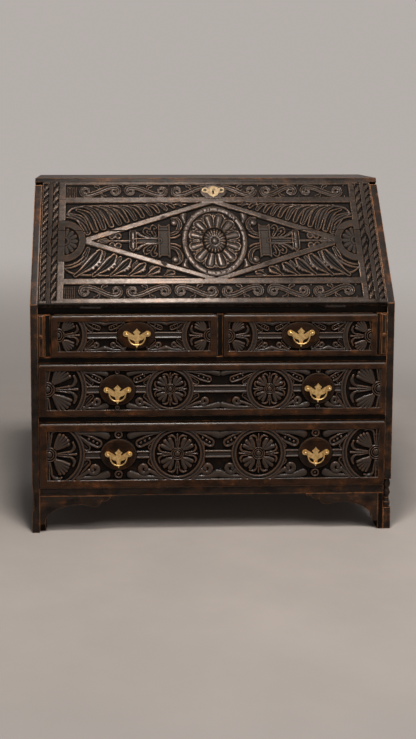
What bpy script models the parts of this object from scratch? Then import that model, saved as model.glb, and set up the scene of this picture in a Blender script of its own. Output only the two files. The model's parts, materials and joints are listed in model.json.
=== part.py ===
"""Slant-front writing bureau in dark carved oak, with brass batwing handles.

Metres, +Z up, the front faces -Y. The origin is on the floor, under the middle of the whole piece.
Inside the script everything is placed from the carcase: X = 0 is its centre, Y = 0 its front edge.
"""
import math

import bmesh
import bpy
from mathutils import Matrix, Vector

# Carcase
CARCASE_WIDTH = 1.070
CARCASE_DEPTH = 0.535
CARCASE_HEIGHT = 1.040
SIDE_THICKNESS = 0.022
TOP_THICKNESS = 0.020
BACK_THICKNESS = 0.012
BACK_PLANKS = 6
HOUSING_DEPTH = 0.006
SEAT_GAP = 0.0003

# Heights of the front, from the floor up
FOOT_HEIGHT = 0.112
BOTTOM_RAIL_HEIGHT = 0.0245
LOWER_DRAWER_OPENING = 0.198
UPPER_DRAWER_OPENING = 0.159
SHORT_DRAWER_OPENING = 0.1265
BLADE_HEIGHT = 0.018
BED_THICKNESS = 0.020
BASE_BOARD_THICKNESS = 0.018
BOTTOM_RAIL_DEPTH = 0.024
BLADE_SETBACK = 0.002

# Slope of the fall front
SLOPE_ANGLE = math.radians(51.44)
SLOPE_RISE = 0.009
FALL_THICKNESS = 0.020
FALL_PROUD = 0.0075
FALL_SIDE_GAP = 0.0015
FALL_TOP_GAP = 0.001
FALL_EDGE_ROUND = 0.004
TOP_NOSE = 0.011
FALL_LOWER_BOARD_EXTRA = 0.0705
CLEAT_WIDTH = 0.036
TONGUE_LENGTH = 0.010
TONGUE_THICKNESS = 0.007
FALL_RAIL_DEPTH = 0.060
HINGE_RUN = 0.0005

# Short drawers, divider and lopers
DIVIDER_CENTRE = 0.020
DIVIDER_THICKNESS = 0.017
LEFT_PARTITION_THICKNESS = 0.017
RIGHT_PARTITION_THICKNESS = 0.009
LOPER_THICKNESS = 0.019
LOPER_LENGTH = 0.440
LOPER_PROUD = 0.003
LOPER_CHAMFER = 0.004
LOPER_RUN = 0.0005
LOPER_KNOB_RADIUS = 0.0065

# Drawers
DRAWER_BACK_SPACE = 0.048
DRAWER_PROUD = 0.008
DRAWER_FRONT_THICKNESS = 0.022
DRAWER_LAP = 0.010
DRAWER_SIDE_THICKNESS = 0.010
DRAWER_SIDE_DROP = 0.008
DRAWER_BOTTOM_THICKNESS = 0.007
DRAWER_BOTTOM_RAISE = 0.006
DRAWER_GROOVE = 0.004
DRAWER_RUN = 0.0012
DRAWER_EDGE_ROUND = 0.005
PANEL_BORDER = 0.021
PANEL_SINK = 0.006

# Batwing handles and the oval pads that carry them
PAD_SETBACK = 0.0005
PAD_HALF_WIDTH = 0.055
PAD_HALF_HEIGHT = 0.041
PLATE_THICKNESS = 0.0016
BORE_SPACING = 0.0630
EAR_RADIUS = 0.0088
POST_RADIUS = 0.0032
POST_HEAD_RADIUS = 0.0048
BAIL_REACH = 0.0080
BAIL_RADIUS = 0.0019
BAIL_HALF_WIDTH = 0.0245
BAIL_DROP = 0.0315
BAIL_ELBOW = 0.0050
BAIL_HOLE_RADIUS = 0.0026

# Handles, from the outer ends of the drawer's opening and from the drawer's own underside
SHORT_HANDLE_RISE = 0.0705
SHORT_LEFT_HANDLE_INSET = 0.2515
SHORT_RIGHT_HANDLE_INSET = 0.2265
UPPER_HANDLE_RISE = 0.0810
UPPER_HANDLE_INSETS = (0.2315, 0.2030)
LOWER_HANDLE_RISE = 0.1040
LOWER_HANDLE_INSETS = (0.2340, 0.2075)

# Right half of a handle plate: points about its middle, and points about the middle of its ear
PLATE_TAIL_EDGE = ((0, -0.0427), (0.0053, -0.0330), (0.0055, -0.0242), (0.0088, -0.0198))
PLATE_UNDER_EAR = ((-0.0154, -0.0176), (-0.0092, -0.0141))
PLATE_OVER_EAR = ((-0.0154, 0.0005), (-0.0220, -0.0042))
PLATE_CROWN_EDGE = ((0.0063, -0.0031), (0.0084, 0.0011), (0.0110, 0.0042), (0.0055, 0.0086), (0, 0.0154))

# Hinges of the fall
HINGE_INSET = 0.1515
HINGE_LENGTH = 0.060
HINGE_LEAF = 0.030
HINGE_LEAF_THICKNESS = 0.0020
KNUCKLE_RADIUS = 0.0036
KNUCKLE_GAP = 0.0004
PIN_RADIUS = 0.0014
PIN_CLEARANCE = 0.0004

# Lock, bolt and escutcheon
LOCK_CENTRE = 0.0175
LOCK_WIDTH = 0.064
LOCK_HEIGHT = 0.057
LOCK_DEPTH = 0.011
BOLT_WIDTH = 0.022
BOLT_THICKNESS = 0.005
BOLT_LENGTH = 0.030
BOLT_THROW = 0.008
KEYHOLE_DROP = 0.042
KEYHOLE_RADIUS = 0.0028
KEYHOLE_SLOT = 0.0085
KEYHOLE_SLOT_HALF_WIDTH = 0.0015
ESCUTCHEON_EYE_SPACING = 0.0508
ESCUTCHEON_EYE_RISE = 0.0044
ESCUTCHEON_EYE = 0.0055
ESCUTCHEON_EAR = 0.0096
ESCUTCHEON_THICKNESS = 0.0015

# Right half of the escutcheon about the keyhole, below and above its ear
ESCUTCHEON_TAIL_EDGE = ((0, -0.0238), (0.0069, -0.0167), (0.0126, -0.0150), (0.0145, -0.0088))
ESCUTCHEON_CROWN_EDGE = ((0.0132, 0.0097), (0.0151, 0.0136), (0.0063, 0.0184), (0, 0.0202))

# Carving of the fall's two boards: sunk grounds, with bands and ornament left standing in them
FIELD_DEPTH = 0.0056
FRIEZE_DEPTH = 0.0042
ROSETTE_DEPTH = 0.0022
LOWER_LIP = 0.0185
UPPER_LIP = 0.0145
FRIEZE_HEIGHT = 0.0485
BAND_HEIGHT = 0.0190
LEFT_STILE = 0.0375
RIGHT_STILE = 0.0340
CARVING_CENTRE = 0.0140
CARVING_DROP = 0.0035
LOZENGE_INSETS = (0.0640, 0.0525)
LOZENGE_OVERRUN = 0.0050
LOZENGE_BAND = 0.0176
RING_HALF_WIDTH = 0.0995
RING_HALF_HEIGHT = 0.1260
RING_WIDTH = 0.0165
RING_SIDES = 24
PETALS = 12
PETAL_HALF_WIDTH = 0.0150
DISC_SIDES = 14
DISC_HALF_WIDTH = 0.0340
HALF_ROSETTE = (0.0615, 0.0720)
HALF_ROSETTE_RING = 0.0200
LOW_LEAF_PAIRS = 6
LOW_LEAF_HALF_WIDTH = 0.0145
HIGH_LEAVES = 11
HIGH_LEAF_HALF_WIDTH = 0.0115
SCROLLS = 6
SCROLL_INSETS = (0.0380, 0.0075)
SCROLL_STRAP = 0.0155
TABLET_REACH = 0.1530
TABLET_HALF_WIDTH = 0.0185
TABLET_HALF_HEIGHT = 0.0610
TABLET_NOTCH = 0.0070
PLAQUE_REACH = 0.2470
PLAQUE_HALF_WIDTH = 0.0125
PLAQUE_HALF_HEIGHT = 0.0400
BAR_HALF_HEIGHT = 0.0085
VOLUTE_REACH = 0.1215
VOLUTE_DROP = 0.0655
VOLUTE_RADIUS = 0.0095
SPRIG_REACH = 0.3000
SPRIG_LOBE = 0.0100
BUD_REACH = 0.3590

# Leaves of the spandrels, as shares of the way in from the stile and of the way to the middle line
LOW_LEAF_START = 0.095
LOW_LEAF_STEP = 0.115
LOW_LEAF_REACH = 0.155
LEAF_ROOT = 0.12
LEAF_CROWN = 0.93
LEAF_SLOPE = 1.12
HIGH_LEAF_START = 0.168
HIGH_LEAF_STEP = 0.055
HIGH_LEAF_REACH = 0.105

# Feet
BRACKET_THICKNESS = 0.018
LEFT_BRACKET_LENGTH = 0.223
RIGHT_BRACKET_LENGTH = 0.217
BRACKET_TIP_HEIGHT = 0.026
BRACKET_TIP_WIDTH = 0.013
FOOT_BLOCK_WIDTH = 0.0165
FOOT_BLOCK_DEPTH = 0.060
SIDE_FOOT_WIDTH = 0.050
SIDE_ARCH_FLAT = 0.120

# Lower edge of a bracket foot, back from its far end and down from its top
END_SCALLOP_WIDTH = 0.015
END_SCALLOP_DROP = 0.010
MIDDLE_SCALLOP_WIDTH = 0.025
MIDDLE_SCALLOP_DROP = 0.019
LOBE_WIDTH = 0.022
LOBE_DROP = 0.034
LOBE_SHOULDER_DROP = 0.015
HOLLOW_RUN = 0.040
HOLLOW_DROP = 0.027
HOOK_WIDTH = 0.004
HOOK_HEIGHT = 0.009

# Right front corner of the carcase, turned as a ring and two balls; the left one is cut back instead
TURNING_BOTTOM = 0.066
REEL_HEIGHT = 0.032
LOWER_BALL_HEIGHT = 0.025
UPPER_BALL_HEIGHT = 0.030
REEL_NECK_RADIUS = 0.0080
RING_HEIGHT = 0.011
BALL_NECK = math.radians(58)
TURNING_SUNK = 0.002
CORNER_CUT = 0.004
CORNER_TAPER = 0.052

# Writing interior
GALLERY_CLEARANCE = 0.014
GALLERY_WALL = 0.008
SMALL_DRAWERS = 4
SMALL_DRAWER_OPENING = 0.080
SMALL_DRAWER_WALL = 0.0075
SMALL_DRAWER_FRONT = 0.010
SMALL_DRAWER_RUN = 0.0008
SMALL_KNOB_RADIUS = 0.008
NICHE_WIDTH = 0.220
PIGEONHOLES_EACH_SIDE = 3
VALANCE_DROP = 0.034
VALANCE_ARCH = 0.027
VALANCE_DEPTH = 0.006

# Worked out from the driving dimensions
SIDE_INNER = CARCASE_WIDTH / 2 - SIDE_THICKNESS
BASE_TOP = FOOT_HEIGHT + BOTTOM_RAIL_HEIGHT
LOWER_BLADE = BASE_TOP + LOWER_DRAWER_OPENING
UPPER_FLOOR = LOWER_BLADE + BLADE_HEIGHT
UPPER_BLADE = UPPER_FLOOR + UPPER_DRAWER_OPENING
SHORT_FLOOR = UPPER_BLADE + BLADE_HEIGHT
BED_UNDERSIDE = SHORT_FLOOR + SHORT_DRAWER_OPENING
BED_TOP = BED_UNDERSIDE + BED_THICKNESS
TOP_UNDERSIDE = CARCASE_HEIGHT - TOP_THICKNESS
BACK_FACE = CARCASE_DEPTH - BACK_THICKNESS
BOARD_BACK = BACK_FACE - SEAT_GAP

SLOPE_COS = math.cos(SLOPE_ANGLE)
SLOPE_SIN = math.sin(SLOPE_ANGLE)
SLOPE_FOOT = BED_TOP + SLOPE_RISE
FALL_INNER = FALL_PROUD - FALL_THICKNESS
HINGE_UP_SLOPE = (BED_TOP - SLOPE_FOOT - FALL_INNER * SLOPE_COS) / SLOPE_SIN
HINGE_Y = HINGE_UP_SLOPE * SLOPE_COS - FALL_INNER * SLOPE_SIN
NOSE_UP_SLOPE = (CARCASE_HEIGHT - TOP_NOSE - SLOPE_FOOT) / SLOPE_SIN
FALL_LENGTH = NOSE_UP_SLOPE - HINGE_UP_SLOPE - FALL_TOP_GAP
FALL_SEAM = (FALL_LENGTH + FALL_LOWER_BOARD_EXTRA) / 2
FALL_HALF_WIDTH = SIDE_INNER - FALL_SIDE_GAP
HINGE_OFFSET = FALL_HALF_WIDTH - HINGE_INSET
RAIL_FRONT = HINGE_Y + HINGE_RUN
RAIL_BACK = HINGE_Y + FALL_RAIL_DEPTH

LOPER_SLOT = LOPER_THICKNESS + 2 * LOPER_RUN
LEFT_OPENING = -SIDE_INNER + LOPER_SLOT + LEFT_PARTITION_THICKNESS
RIGHT_OPENING = SIDE_INNER - LOPER_SLOT - RIGHT_PARTITION_THICKNESS
DIVIDER_LEFT = DIVIDER_CENTRE - DIVIDER_THICKNESS / 2
DIVIDER_RIGHT = DIVIDER_CENTRE + DIVIDER_THICKNESS / 2

DRAWER_FRONT_BACK = DRAWER_FRONT_THICKNESS - DRAWER_PROUD
DRAWER_START = DRAWER_FRONT_BACK - DRAWER_LAP + SEAT_GAP
DRAWER_BACK = BOARD_BACK - DRAWER_BACK_SPACE
SHORT_LEFT_HANDLE = LEFT_OPENING + SHORT_LEFT_HANDLE_INSET
SHORT_RIGHT_HANDLE = RIGHT_OPENING - SHORT_RIGHT_HANDLE_INSET
UPPER_HANDLES = (-SIDE_INNER + UPPER_HANDLE_INSETS[0], SIDE_INNER - UPPER_HANDLE_INSETS[1])
LOWER_HANDLES = (-SIDE_INNER + LOWER_HANDLE_INSETS[0], SIDE_INNER - LOWER_HANDLE_INSETS[1])
TURNING_TOP = TURNING_BOTTOM + REEL_HEIGHT + LOWER_BALL_HEIGHT + UPPER_BALL_HEIGHT

PAD_FACE = -DRAWER_PROUD + PAD_SETBACK
PLATE_BACK = PAD_FACE - SEAT_GAP
PLATE_FRONT = PLATE_BACK - PLATE_THICKNESS
BAIL_AXIS = PLATE_FRONT - BAIL_REACH
FRONT_REACH = POST_HEAD_RADIUS - BAIL_AXIS
CARCASE_FRONT = -(CARCASE_DEPTH - FRONT_REACH) / 2

GALLERY_FLOOR = BED_TOP + SEAT_GAP
GALLERY_FRONT = HINGE_Y + (TOP_UNDERSIDE - BED_TOP) / math.tan(SLOPE_ANGLE) + GALLERY_CLEARANCE
GALLERY_HALF_WIDTH = SIDE_INNER - SEAT_GAP
DRAWER_CASE_TOP = GALLERY_FLOOR + SMALL_DRAWER_OPENING + 2 * GALLERY_WALL

OVERCUT = 0.005


def finish(name, colour, roughness, metallic=0.0):
    """A Principled material for one kind of surface."""
    made = bpy.data.materials.new(name)
    made.use_nodes = True
    shader = made.node_tree.nodes["Principled BSDF"]
    shader.inputs["Base Color"].default_value = (*colour, 1.0)
    shader.inputs["Roughness"].default_value = roughness
    shader.inputs["Metallic"].default_value = metallic
    made.diffuse_color = (*colour, 1.0)
    return made


def frame(name, parent=None, location=(0, 0, 0), rotation=(0, 0, 0)):
    """An empty that carries the pieces of one body."""
    made = bpy.data.objects.new(name, None)
    bpy.context.scene.collection.objects.link(made)
    made.parent = parent
    made.location = location
    made.rotation_euler = rotation
    return made


def place(name, bm, carrier, material=None, smooth=None):
    """Turn a bmesh into a named object on its carrier; smooth is the angle of a crisp edge."""
    bmesh.ops.recalc_face_normals(bm, faces=bm.faces)
    mesh = bpy.data.meshes.new(name)
    bm.to_mesh(mesh)
    bm.free()
    if smooth:
        mesh.shade_smooth()
        mesh.set_sharp_from_angle(angle=math.radians(smooth))
    made = bpy.data.objects.new(name, mesh)
    bpy.context.scene.collection.objects.link(made)
    made.parent = carrier
    if material:
        made.data.materials.append(material)
    return made


def hidden(name, bm, carrier):
    """A tool object: it shapes pieces and is no piece itself."""
    tool = place(name, bm, carrier)
    tool.hide_render = True
    tool.display_type = "WIRE"
    return tool


def combine(target, tool, operation, overlapping=False):
    """Shape a piece with a tool object; overlapping tells that the tool's own forms cross."""
    modifier = target.modifiers.new(operation.lower(), "BOOLEAN")
    modifier.operation = operation
    modifier.solver = "EXACT"
    modifier.use_self = overlapping
    modifier.object = tool


def shape(target, bm, operation):
    """Cut a form out of a piece, or grow it onto the piece, with a hidden tool object."""
    tool = hidden(f"{target.name}_tool_{len(target.modifiers)}", bm, target.parent)
    combine(target, tool, operation)


def cut(target, bm):
    shape(target, bm, "DIFFERENCE")


def grow(target, bm):
    shape(target, bm, "UNION")


def box(x, y, z):
    """A block between two limits along each axis."""
    bm = bmesh.new()
    bmesh.ops.create_cube(bm, size=1.0)
    bmesh.ops.scale(bm, vec=(x[1] - x[0], y[1] - y[0], z[1] - z[0]), verts=bm.verts)
    middle = Vector((sum(x), sum(y), sum(z))) / 2
    bmesh.ops.translate(bm, vec=middle, verts=bm.verts)
    return bm


def prism(outline, axis, low, high):
    """Extrude a flat outline along one axis. The outline holds the other two axes in X, Y, Z order."""
    bm = bmesh.new()
    index = "XYZ".index(axis)
    corners = []
    for point in outline:
        place_of_point = list(point)
        place_of_point.insert(index, low)
        corners.append(bm.verts.new(place_of_point))
    face = bm.faces.new(corners)
    grown = bmesh.ops.extrude_face_region(bm, geom=[face])
    step = Vector((0, 0, 0))
    step[index] = high - low
    moved = [part for part in grown["geom"] if isinstance(part, bmesh.types.BMVert)]
    bmesh.ops.translate(bm, vec=step, verts=moved)
    return bm


def turned(profile, sides, axis="Z", at=(0, 0, 0)):
    """Spin a profile of (radius, height) points that starts and ends on the axis."""
    bm = bmesh.new()
    verts = [bm.verts.new((radius, 0, height)) for radius, height in profile]
    edges = [bm.edges.new(pair) for pair in zip(verts, verts[1:])]
    bmesh.ops.spin(bm, geom=verts + edges, cent=(0, 0, 0), axis=(0, 0, 1), angle=math.tau,
                   steps=sides, use_merge=True)
    bmesh.ops.remove_doubles(bm, verts=bm.verts, dist=1e-7)
    turn = {"X": Matrix.Rotation(math.pi / 2, 3, "Y"),
            "-Y": Matrix.Rotation(math.pi / 2, 3, "X"),
            "Z": Matrix.Identity(3)}[axis]
    bmesh.ops.rotate(bm, cent=(0, 0, 0), matrix=turn, verts=bm.verts)
    bmesh.ops.translate(bm, vec=at, verts=bm.verts)
    return bm


def rod(radius, low, high, sides, axis, at):
    """A plain round bar along an axis, its length measured from the point it passes through."""
    return turned([(0, low), (radius, low), (radius, high), (0, high)], sides, axis, at)


def joined(*parts):
    """Several separate forms in one bmesh, for one cut."""
    bm = bmesh.new()
    for part in parts:
        held = bpy.data.meshes.new("held")
        part.to_mesh(held)
        part.free()
        bm.from_mesh(held)
        bpy.data.meshes.remove(held)
    return bm


def arc(centre, half_width, half_height, start, end, steps):
    """Points of an ellipse arc, angles in degrees."""
    points = []
    for step in range(steps + 1):
        angle = math.radians(start + (end - start) * step / steps)
        points.append((centre[0] + half_width * math.cos(angle), centre[1] + half_height * math.sin(angle)))
    return points


def mirrored(points):
    """The same points on the other side of the middle line, in reverse order."""
    return [(-x, z) for x, z in reversed(points)]


def slope_y(z):
    """Where the slope of the carcase sides stands at a height."""
    return (z - SLOPE_FOOT) / math.tan(SLOPE_ANGLE)


def bracket_curve(length):
    """Lower edge of a bracket foot, from its tip to its far end: a hollow, a lobe and two scallops."""
    end_start = length - END_SCALLOP_WIDTH
    middle_start = end_start - MIDDLE_SCALLOP_WIDTH
    lobe_middle = middle_start - LOBE_WIDTH
    crown = lobe_middle - HOLLOW_RUN
    crown_height = FOOT_HEIGHT - HOLLOW_DROP
    lobe_height = FOOT_HEIGHT - LOBE_DROP
    shoulder = FOOT_HEIGHT - LOBE_SHOULDER_DROP
    hook = BRACKET_TIP_HEIGHT + HOOK_HEIGHT
    points = [(BRACKET_TIP_WIDTH, BRACKET_TIP_HEIGHT)]
    points += arc((crown, hook), crown - BRACKET_TIP_WIDTH - HOOK_WIDTH, crown_height - hook, 180, 90, 8)
    for step in range(1, 5):
        ease = (1 - math.cos(math.pi * step / 5)) / 2
        points.append((crown + HOLLOW_RUN * step / 5, crown_height + (lobe_height - crown_height) * ease))
    points += arc((lobe_middle, shoulder), LOBE_WIDTH, shoulder - lobe_height, -90, 0, 5)
    scallop_top = FOOT_HEIGHT - END_SCALLOP_DROP / 2
    scallop_bottom = FOOT_HEIGHT - MIDDLE_SCALLOP_DROP
    reach = MIDDLE_SCALLOP_WIDTH - HOOK_WIDTH
    points += arc((end_start - reach, scallop_top), reach, scallop_top - scallop_bottom, -90, 0, 4)
    reach = END_SCALLOP_WIDTH - HOOK_WIDTH
    points += arc((length - reach, FOOT_HEIGHT), reach, END_SCALLOP_DROP, -90, 0, 4)
    return points


def side_outline(front_edge):
    """Side board seen from its end: shaped feet, upright back, sloped front.

    front_edge goes up the front.
    """
    reach = (CARCASE_DEPTH - SIDE_ARCH_FLAT) / 2 - SIDE_FOOT_WIDTH + BRACKET_TIP_WIDTH
    arch = [(SIDE_FOOT_WIDTH - BRACKET_TIP_WIDTH + run, z) for run, z in bracket_curve(reach)]
    arch = [(SIDE_FOOT_WIDTH, 0)] + arch
    outline = list(reversed(front_edge)) + arch
    outline += [(CARCASE_DEPTH - y, z) for y, z in reversed(arch)]
    top = TOP_UNDERSIDE - SEAT_GAP
    outline += [(CARCASE_DEPTH, 0), (CARCASE_DEPTH, top), (slope_y(top), top), (0, SLOPE_FOOT)]
    return outline


def housings(inner, hand):
    """Grooves across a side board for the boards that it holds."""
    near, far = sorted((hand * (inner - OVERCUT), hand * (inner + HOUSING_DEPTH)))
    spans = ((BASE_TOP - BASE_BOARD_THICKNESS, BASE_TOP, BOTTOM_RAIL_DEPTH + SEAT_GAP),
             (LOWER_BLADE, UPPER_FLOOR, BLADE_SETBACK),
             (UPPER_BLADE, SHORT_FLOOR, BLADE_SETBACK),
             (BED_UNDERSIDE, BED_TOP, RAIL_FRONT))
    grooves = [box((near, far), (start - SEAT_GAP, BACK_FACE), (low - SEAT_GAP, high + SEAT_GAP))
               for low, high, start in spans]
    return joined(*grooves)


def corner_turning(at):
    """Ball-and-ring corner, turned like a split spindle, sunk a little into the wood above and below."""
    full = SIDE_THICKNESS / 2
    ring_start = (REEL_HEIGHT - RING_HEIGHT) / 4
    ring_end = ring_start + RING_HEIGHT
    profile = [(0, -TURNING_SUNK), (REEL_NECK_RADIUS, -TURNING_SUNK), (REEL_NECK_RADIUS, ring_start / 2)]
    profile += [(full, ring_start), (full, ring_end), (REEL_NECK_RADIUS, ring_end + ring_start / 2)]
    profile.append((REEL_NECK_RADIUS, REEL_HEIGHT - ring_start / 2))
    base = REEL_HEIGHT
    for height in (LOWER_BALL_HEIGHT, UPPER_BALL_HEIGHT):
        for step in range(-2, 3):
            tilt = BALL_NECK * step / 2
            rise = height / 2 * (1 + math.sin(tilt) / math.sin(BALL_NECK))
            profile.append((full * math.cos(tilt), base + rise))
        base += height
    neck = full * math.cos(BALL_NECK)
    profile += [(neck, base + TURNING_SUNK), (0, base + TURNING_SUNK)]
    return turned(profile, 16, "Z", at)


def build_sides(carcase, oak):
    half = CARCASE_WIDTH / 2
    left = place("left_side", prism(side_outline([(0, 0)]), "X", -half, -SIDE_INNER), carcase, oak)
    cut(left, housings(SIDE_INNER, -1))
    wane = prism([(-half - OVERCUT, TURNING_TOP), (-half, TURNING_TOP),
                  (-half + CORNER_CUT, TURNING_TOP - CORNER_TAPER),
                  (-half + CORNER_CUT, TURNING_BOTTOM + CORNER_CUT), (-half, TURNING_BOTTOM),
                  (-half - OVERCUT, TURNING_BOTTOM)], "Y", -OVERCUT, SIDE_THICKNESS)
    cut(left, wane)

    right_front = [(0, 0), (0, TURNING_BOTTOM), (SIDE_THICKNESS, TURNING_BOTTOM),
                   (SIDE_THICKNESS, TURNING_TOP), (0, TURNING_TOP)]
    right = place("right_side", prism(side_outline(right_front), "X", SIDE_INNER, half), carcase, oak)
    cut(right, housings(SIDE_INNER, 1))
    grow(right, corner_turning((half - SIDE_THICKNESS / 2, SIDE_THICKNESS / 2, TURNING_BOTTOM)))


def build_top(carcase, oak):
    nose = (slope_y(CARCASE_HEIGHT - TOP_NOSE), CARCASE_HEIGHT - TOP_NOSE)
    back_down = (TOP_THICKNESS - TOP_NOSE) / SLOPE_COS
    heel = (nose[0] + back_down * SLOPE_SIN, TOP_UNDERSIDE)
    outline = [(slope_y(CARCASE_HEIGHT), CARCASE_HEIGHT), nose, heel,
               (CARCASE_DEPTH, TOP_UNDERSIDE), (CARCASE_DEPTH, CARCASE_HEIGHT)]
    top = place("top_board", prism(outline, "X", -CARCASE_WIDTH / 2, CARCASE_WIDTH / 2), carcase, oak)
    mortise = box(bolt_width(2 * SEAT_GAP), (FALL_LENGTH - OVERCUT, FALL_LENGTH + FALL_TOP_GAP + BOLT_THROW),
                  bolt_depth(2 * SEAT_GAP))
    slope = Matrix.Rotation(SLOPE_ANGLE, 3, "X")
    bmesh.ops.rotate(mortise, cent=(0, 0, 0), matrix=slope, verts=mortise.verts)
    bmesh.ops.translate(mortise, vec=(0, HINGE_Y, BED_TOP), verts=mortise.verts)
    cut(top, mortise)


def build_boards(carcase, oak, raw_oak):
    housed = SIDE_INNER + HOUSING_DEPTH - SEAT_GAP
    between = SIDE_INNER - SEAT_GAP
    rail = place("fall_rail", box((-housed, housed), (RAIL_FRONT, RAIL_BACK), (BED_UNDERSIDE, BED_TOP)),
                 carcase, oak)
    for centre in (-HINGE_OFFSET, HINGE_OFFSET):
        cut(rail, knuckle_clearance(centre, (HINGE_Y, BED_TOP)))
        cut(rail, box(leaf_span(centre, SEAT_GAP), (RAIL_FRONT - OVERCUT, HINGE_Y + HINGE_LEAF + SEAT_GAP),
                      (BED_TOP - HINGE_LEAF_THICKNESS - SEAT_GAP, BED_TOP + OVERCUT)))
    place("desk_bed", box((-housed, housed), (RAIL_BACK + SEAT_GAP, BOARD_BACK), (BED_UNDERSIDE, BED_TOP)),
          carcase, oak)
    place("upper_dustboard", box((-housed, housed), (BLADE_SETBACK, BOARD_BACK), (UPPER_BLADE, SHORT_FLOOR)),
          carcase, oak)
    place("lower_dustboard", box((-housed, housed), (BLADE_SETBACK, BOARD_BACK), (LOWER_BLADE, UPPER_FLOOR)),
          carcase, oak)
    place("base_board", box((-housed, housed), (BOTTOM_RAIL_DEPTH + SEAT_GAP, BOARD_BACK),
                            (BASE_TOP - BASE_BOARD_THICKNESS, BASE_TOP)), carcase, raw_oak)
    place("bottom_rail", box((-between, between), (0, BOTTOM_RAIL_DEPTH), (FOOT_HEIGHT, BASE_TOP)),
          carcase, oak)

    plank = 2 * between / BACK_PLANKS
    groove = BACK_THICKNESS / 4
    outline = [(-between, BACK_FACE), (between, BACK_FACE), (between, CARCASE_DEPTH)]
    for seam in range(BACK_PLANKS - 1, 0, -1):
        x = -between + seam * plank
        outline += [(x + groove, CARCASE_DEPTH), (x, CARCASE_DEPTH - groove), (x - groove, CARCASE_DEPTH)]
    outline.append((-between, CARCASE_DEPTH))
    place("back_board", prism(outline, "Z", FOOT_HEIGHT, TOP_UNDERSIDE - SEAT_GAP), carcase, raw_oak)


def build_partitions(carcase, oak):
    tall = (SHORT_FLOOR + SEAT_GAP, BED_UNDERSIDE - SEAT_GAP)
    deep = (BLADE_SETBACK, BOARD_BACK)
    for name, x in (("drawer_divider", (DIVIDER_LEFT, DIVIDER_RIGHT)),
                    ("left_partition", (-SIDE_INNER + LOPER_SLOT, LEFT_OPENING)),
                    ("right_partition", (RIGHT_OPENING, SIDE_INNER - LOPER_SLOT))):
        place(name, box(x, deep, tall), carcase, oak)


def build_feet(carcase, oak):
    """The left bracket covers its foot block; the right one stops against it."""
    between = SIDE_INNER - SEAT_GAP
    block_top = FOOT_HEIGHT - SEAT_GAP
    block_inner = between - FOOT_BLOCK_WIDTH
    behind = BRACKET_THICKNESS + SEAT_GAP
    for name, x, front in (("left_foot_block", (-between, -block_inner), behind),
                           ("right_foot_block", (block_inner, between), 0)):
        place(name, box(x, (front, FOOT_BLOCK_DEPTH), (0, block_top)), carcase, oak)
    plan = (("left_bracket_foot", -between, 1, LEFT_BRACKET_LENGTH),
            ("right_bracket_foot", block_inner - SEAT_GAP, -1, RIGHT_BRACKET_LENGTH))
    for name, start, hand, length in plan:
        outline = [(0, block_top), (0, BRACKET_TIP_HEIGHT)] + bracket_curve(length)
        outline = [(start + hand * run, min(z, block_top)) for run, z in outline]
        place(name, prism(outline, "Y", 0, BRACKET_THICKNESS), carcase, oak)


def leaf_span(centre, ease=0.0):
    return (centre - HINGE_LENGTH / 2 - ease, centre + HINGE_LENGTH / 2 + ease)


def knuckle_clearance(centre, at):
    """Round hollow along the hinge axis that lets the knuckles turn."""
    reach = HINGE_LENGTH / 2 + SEAT_GAP
    return rod(KNUCKLE_RADIUS + KNUCKLE_GAP, -reach, reach, 16, "X", (centre, *at))


def hinge_leaf(name, carrier, centre, at, brass, centre_knuckle):
    """A hinge leaf: a plate let in flush, with the middle knuckle or the two outer ones on its edge."""
    third = HINGE_LENGTH / 6
    if centre_knuckle:
        spans = [(-third + KNUCKLE_GAP, third - KNUCKLE_GAP)]
    else:
        spans = [(-HINGE_LENGTH / 2, -third), (third, HINGE_LENGTH / 2)]
    start = at[0] + KNUCKLE_RADIUS + KNUCKLE_GAP
    low, high = sorted((at[1], at[1] + HINGE_LEAF_THICKNESS * (1 if centre_knuckle else -1)))
    leaf = place(name, box(leaf_span(centre), (start, at[0] + HINGE_LEAF), (low, high)), carrier, brass, 35)
    for span in spans:
        grow(leaf, box((centre + span[0], centre + span[1]), (at[0], start + OVERCUT / 2), (low, high)))
        grow(leaf, rod(KNUCKLE_RADIUS, span[0], span[1], 14, "X", (centre, *at)))
    if centre_knuckle:
        cut(leaf, rod(PIN_RADIUS + PIN_CLEARANCE, -HINGE_LENGTH, HINGE_LENGTH, 12, "X", (centre, *at)))
    else:
        reach = HINGE_LENGTH / 2 - OVERCUT
        grow(leaf, rod(PIN_RADIUS, -reach, reach, 12, "X", (centre, *at)))


def bolt_width(ease=0.0):
    return (LOCK_CENTRE - BOLT_WIDTH / 2 - ease, LOCK_CENTRE + BOLT_WIDTH / 2 + ease)


def bolt_depth(ease=0.0):
    middle = LOCK_DEPTH / 2
    return (middle - BOLT_THICKNESS / 2 - ease, middle + BOLT_THICKNESS / 2 + ease)


def keyhole_outline():
    """Round hole over a slot, on the face of the fall."""
    at = (LOCK_CENTRE, FALL_LENGTH - KEYHOLE_DROP)
    slot = KEYHOLE_SLOT_HALF_WIDTH
    opening = math.degrees(math.asin(slot / KEYHOLE_RADIUS))
    outline = arc(at, KEYHOLE_RADIUS, KEYHOLE_RADIUS, -90 + opening, 270 - opening, 10)
    return outline + [(at[0] - slot, at[1] - KEYHOLE_SLOT), (at[0] + slot, at[1] - KEYHOLE_SLOT)]


def carving_field():
    """Limits of the fall's sunk field: left, right, low and high."""
    inner = FALL_HALF_WIDTH - CLEAT_WIDTH
    low = LOWER_LIP + FRIEZE_HEIGHT + BAND_HEIGHT
    high = FALL_LENGTH - UPPER_LIP - FRIEZE_HEIGHT - BAND_HEIGHT
    return (LEFT_STILE - inner, inner - RIGHT_STILE, low, high)


def carving_middle():
    """Middle of the field's central ring, a little below the field's own middle."""
    left, right, low, high = carving_field()
    return (CARVING_CENTRE, (low + high) / 2 - CARVING_DROP)


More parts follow.
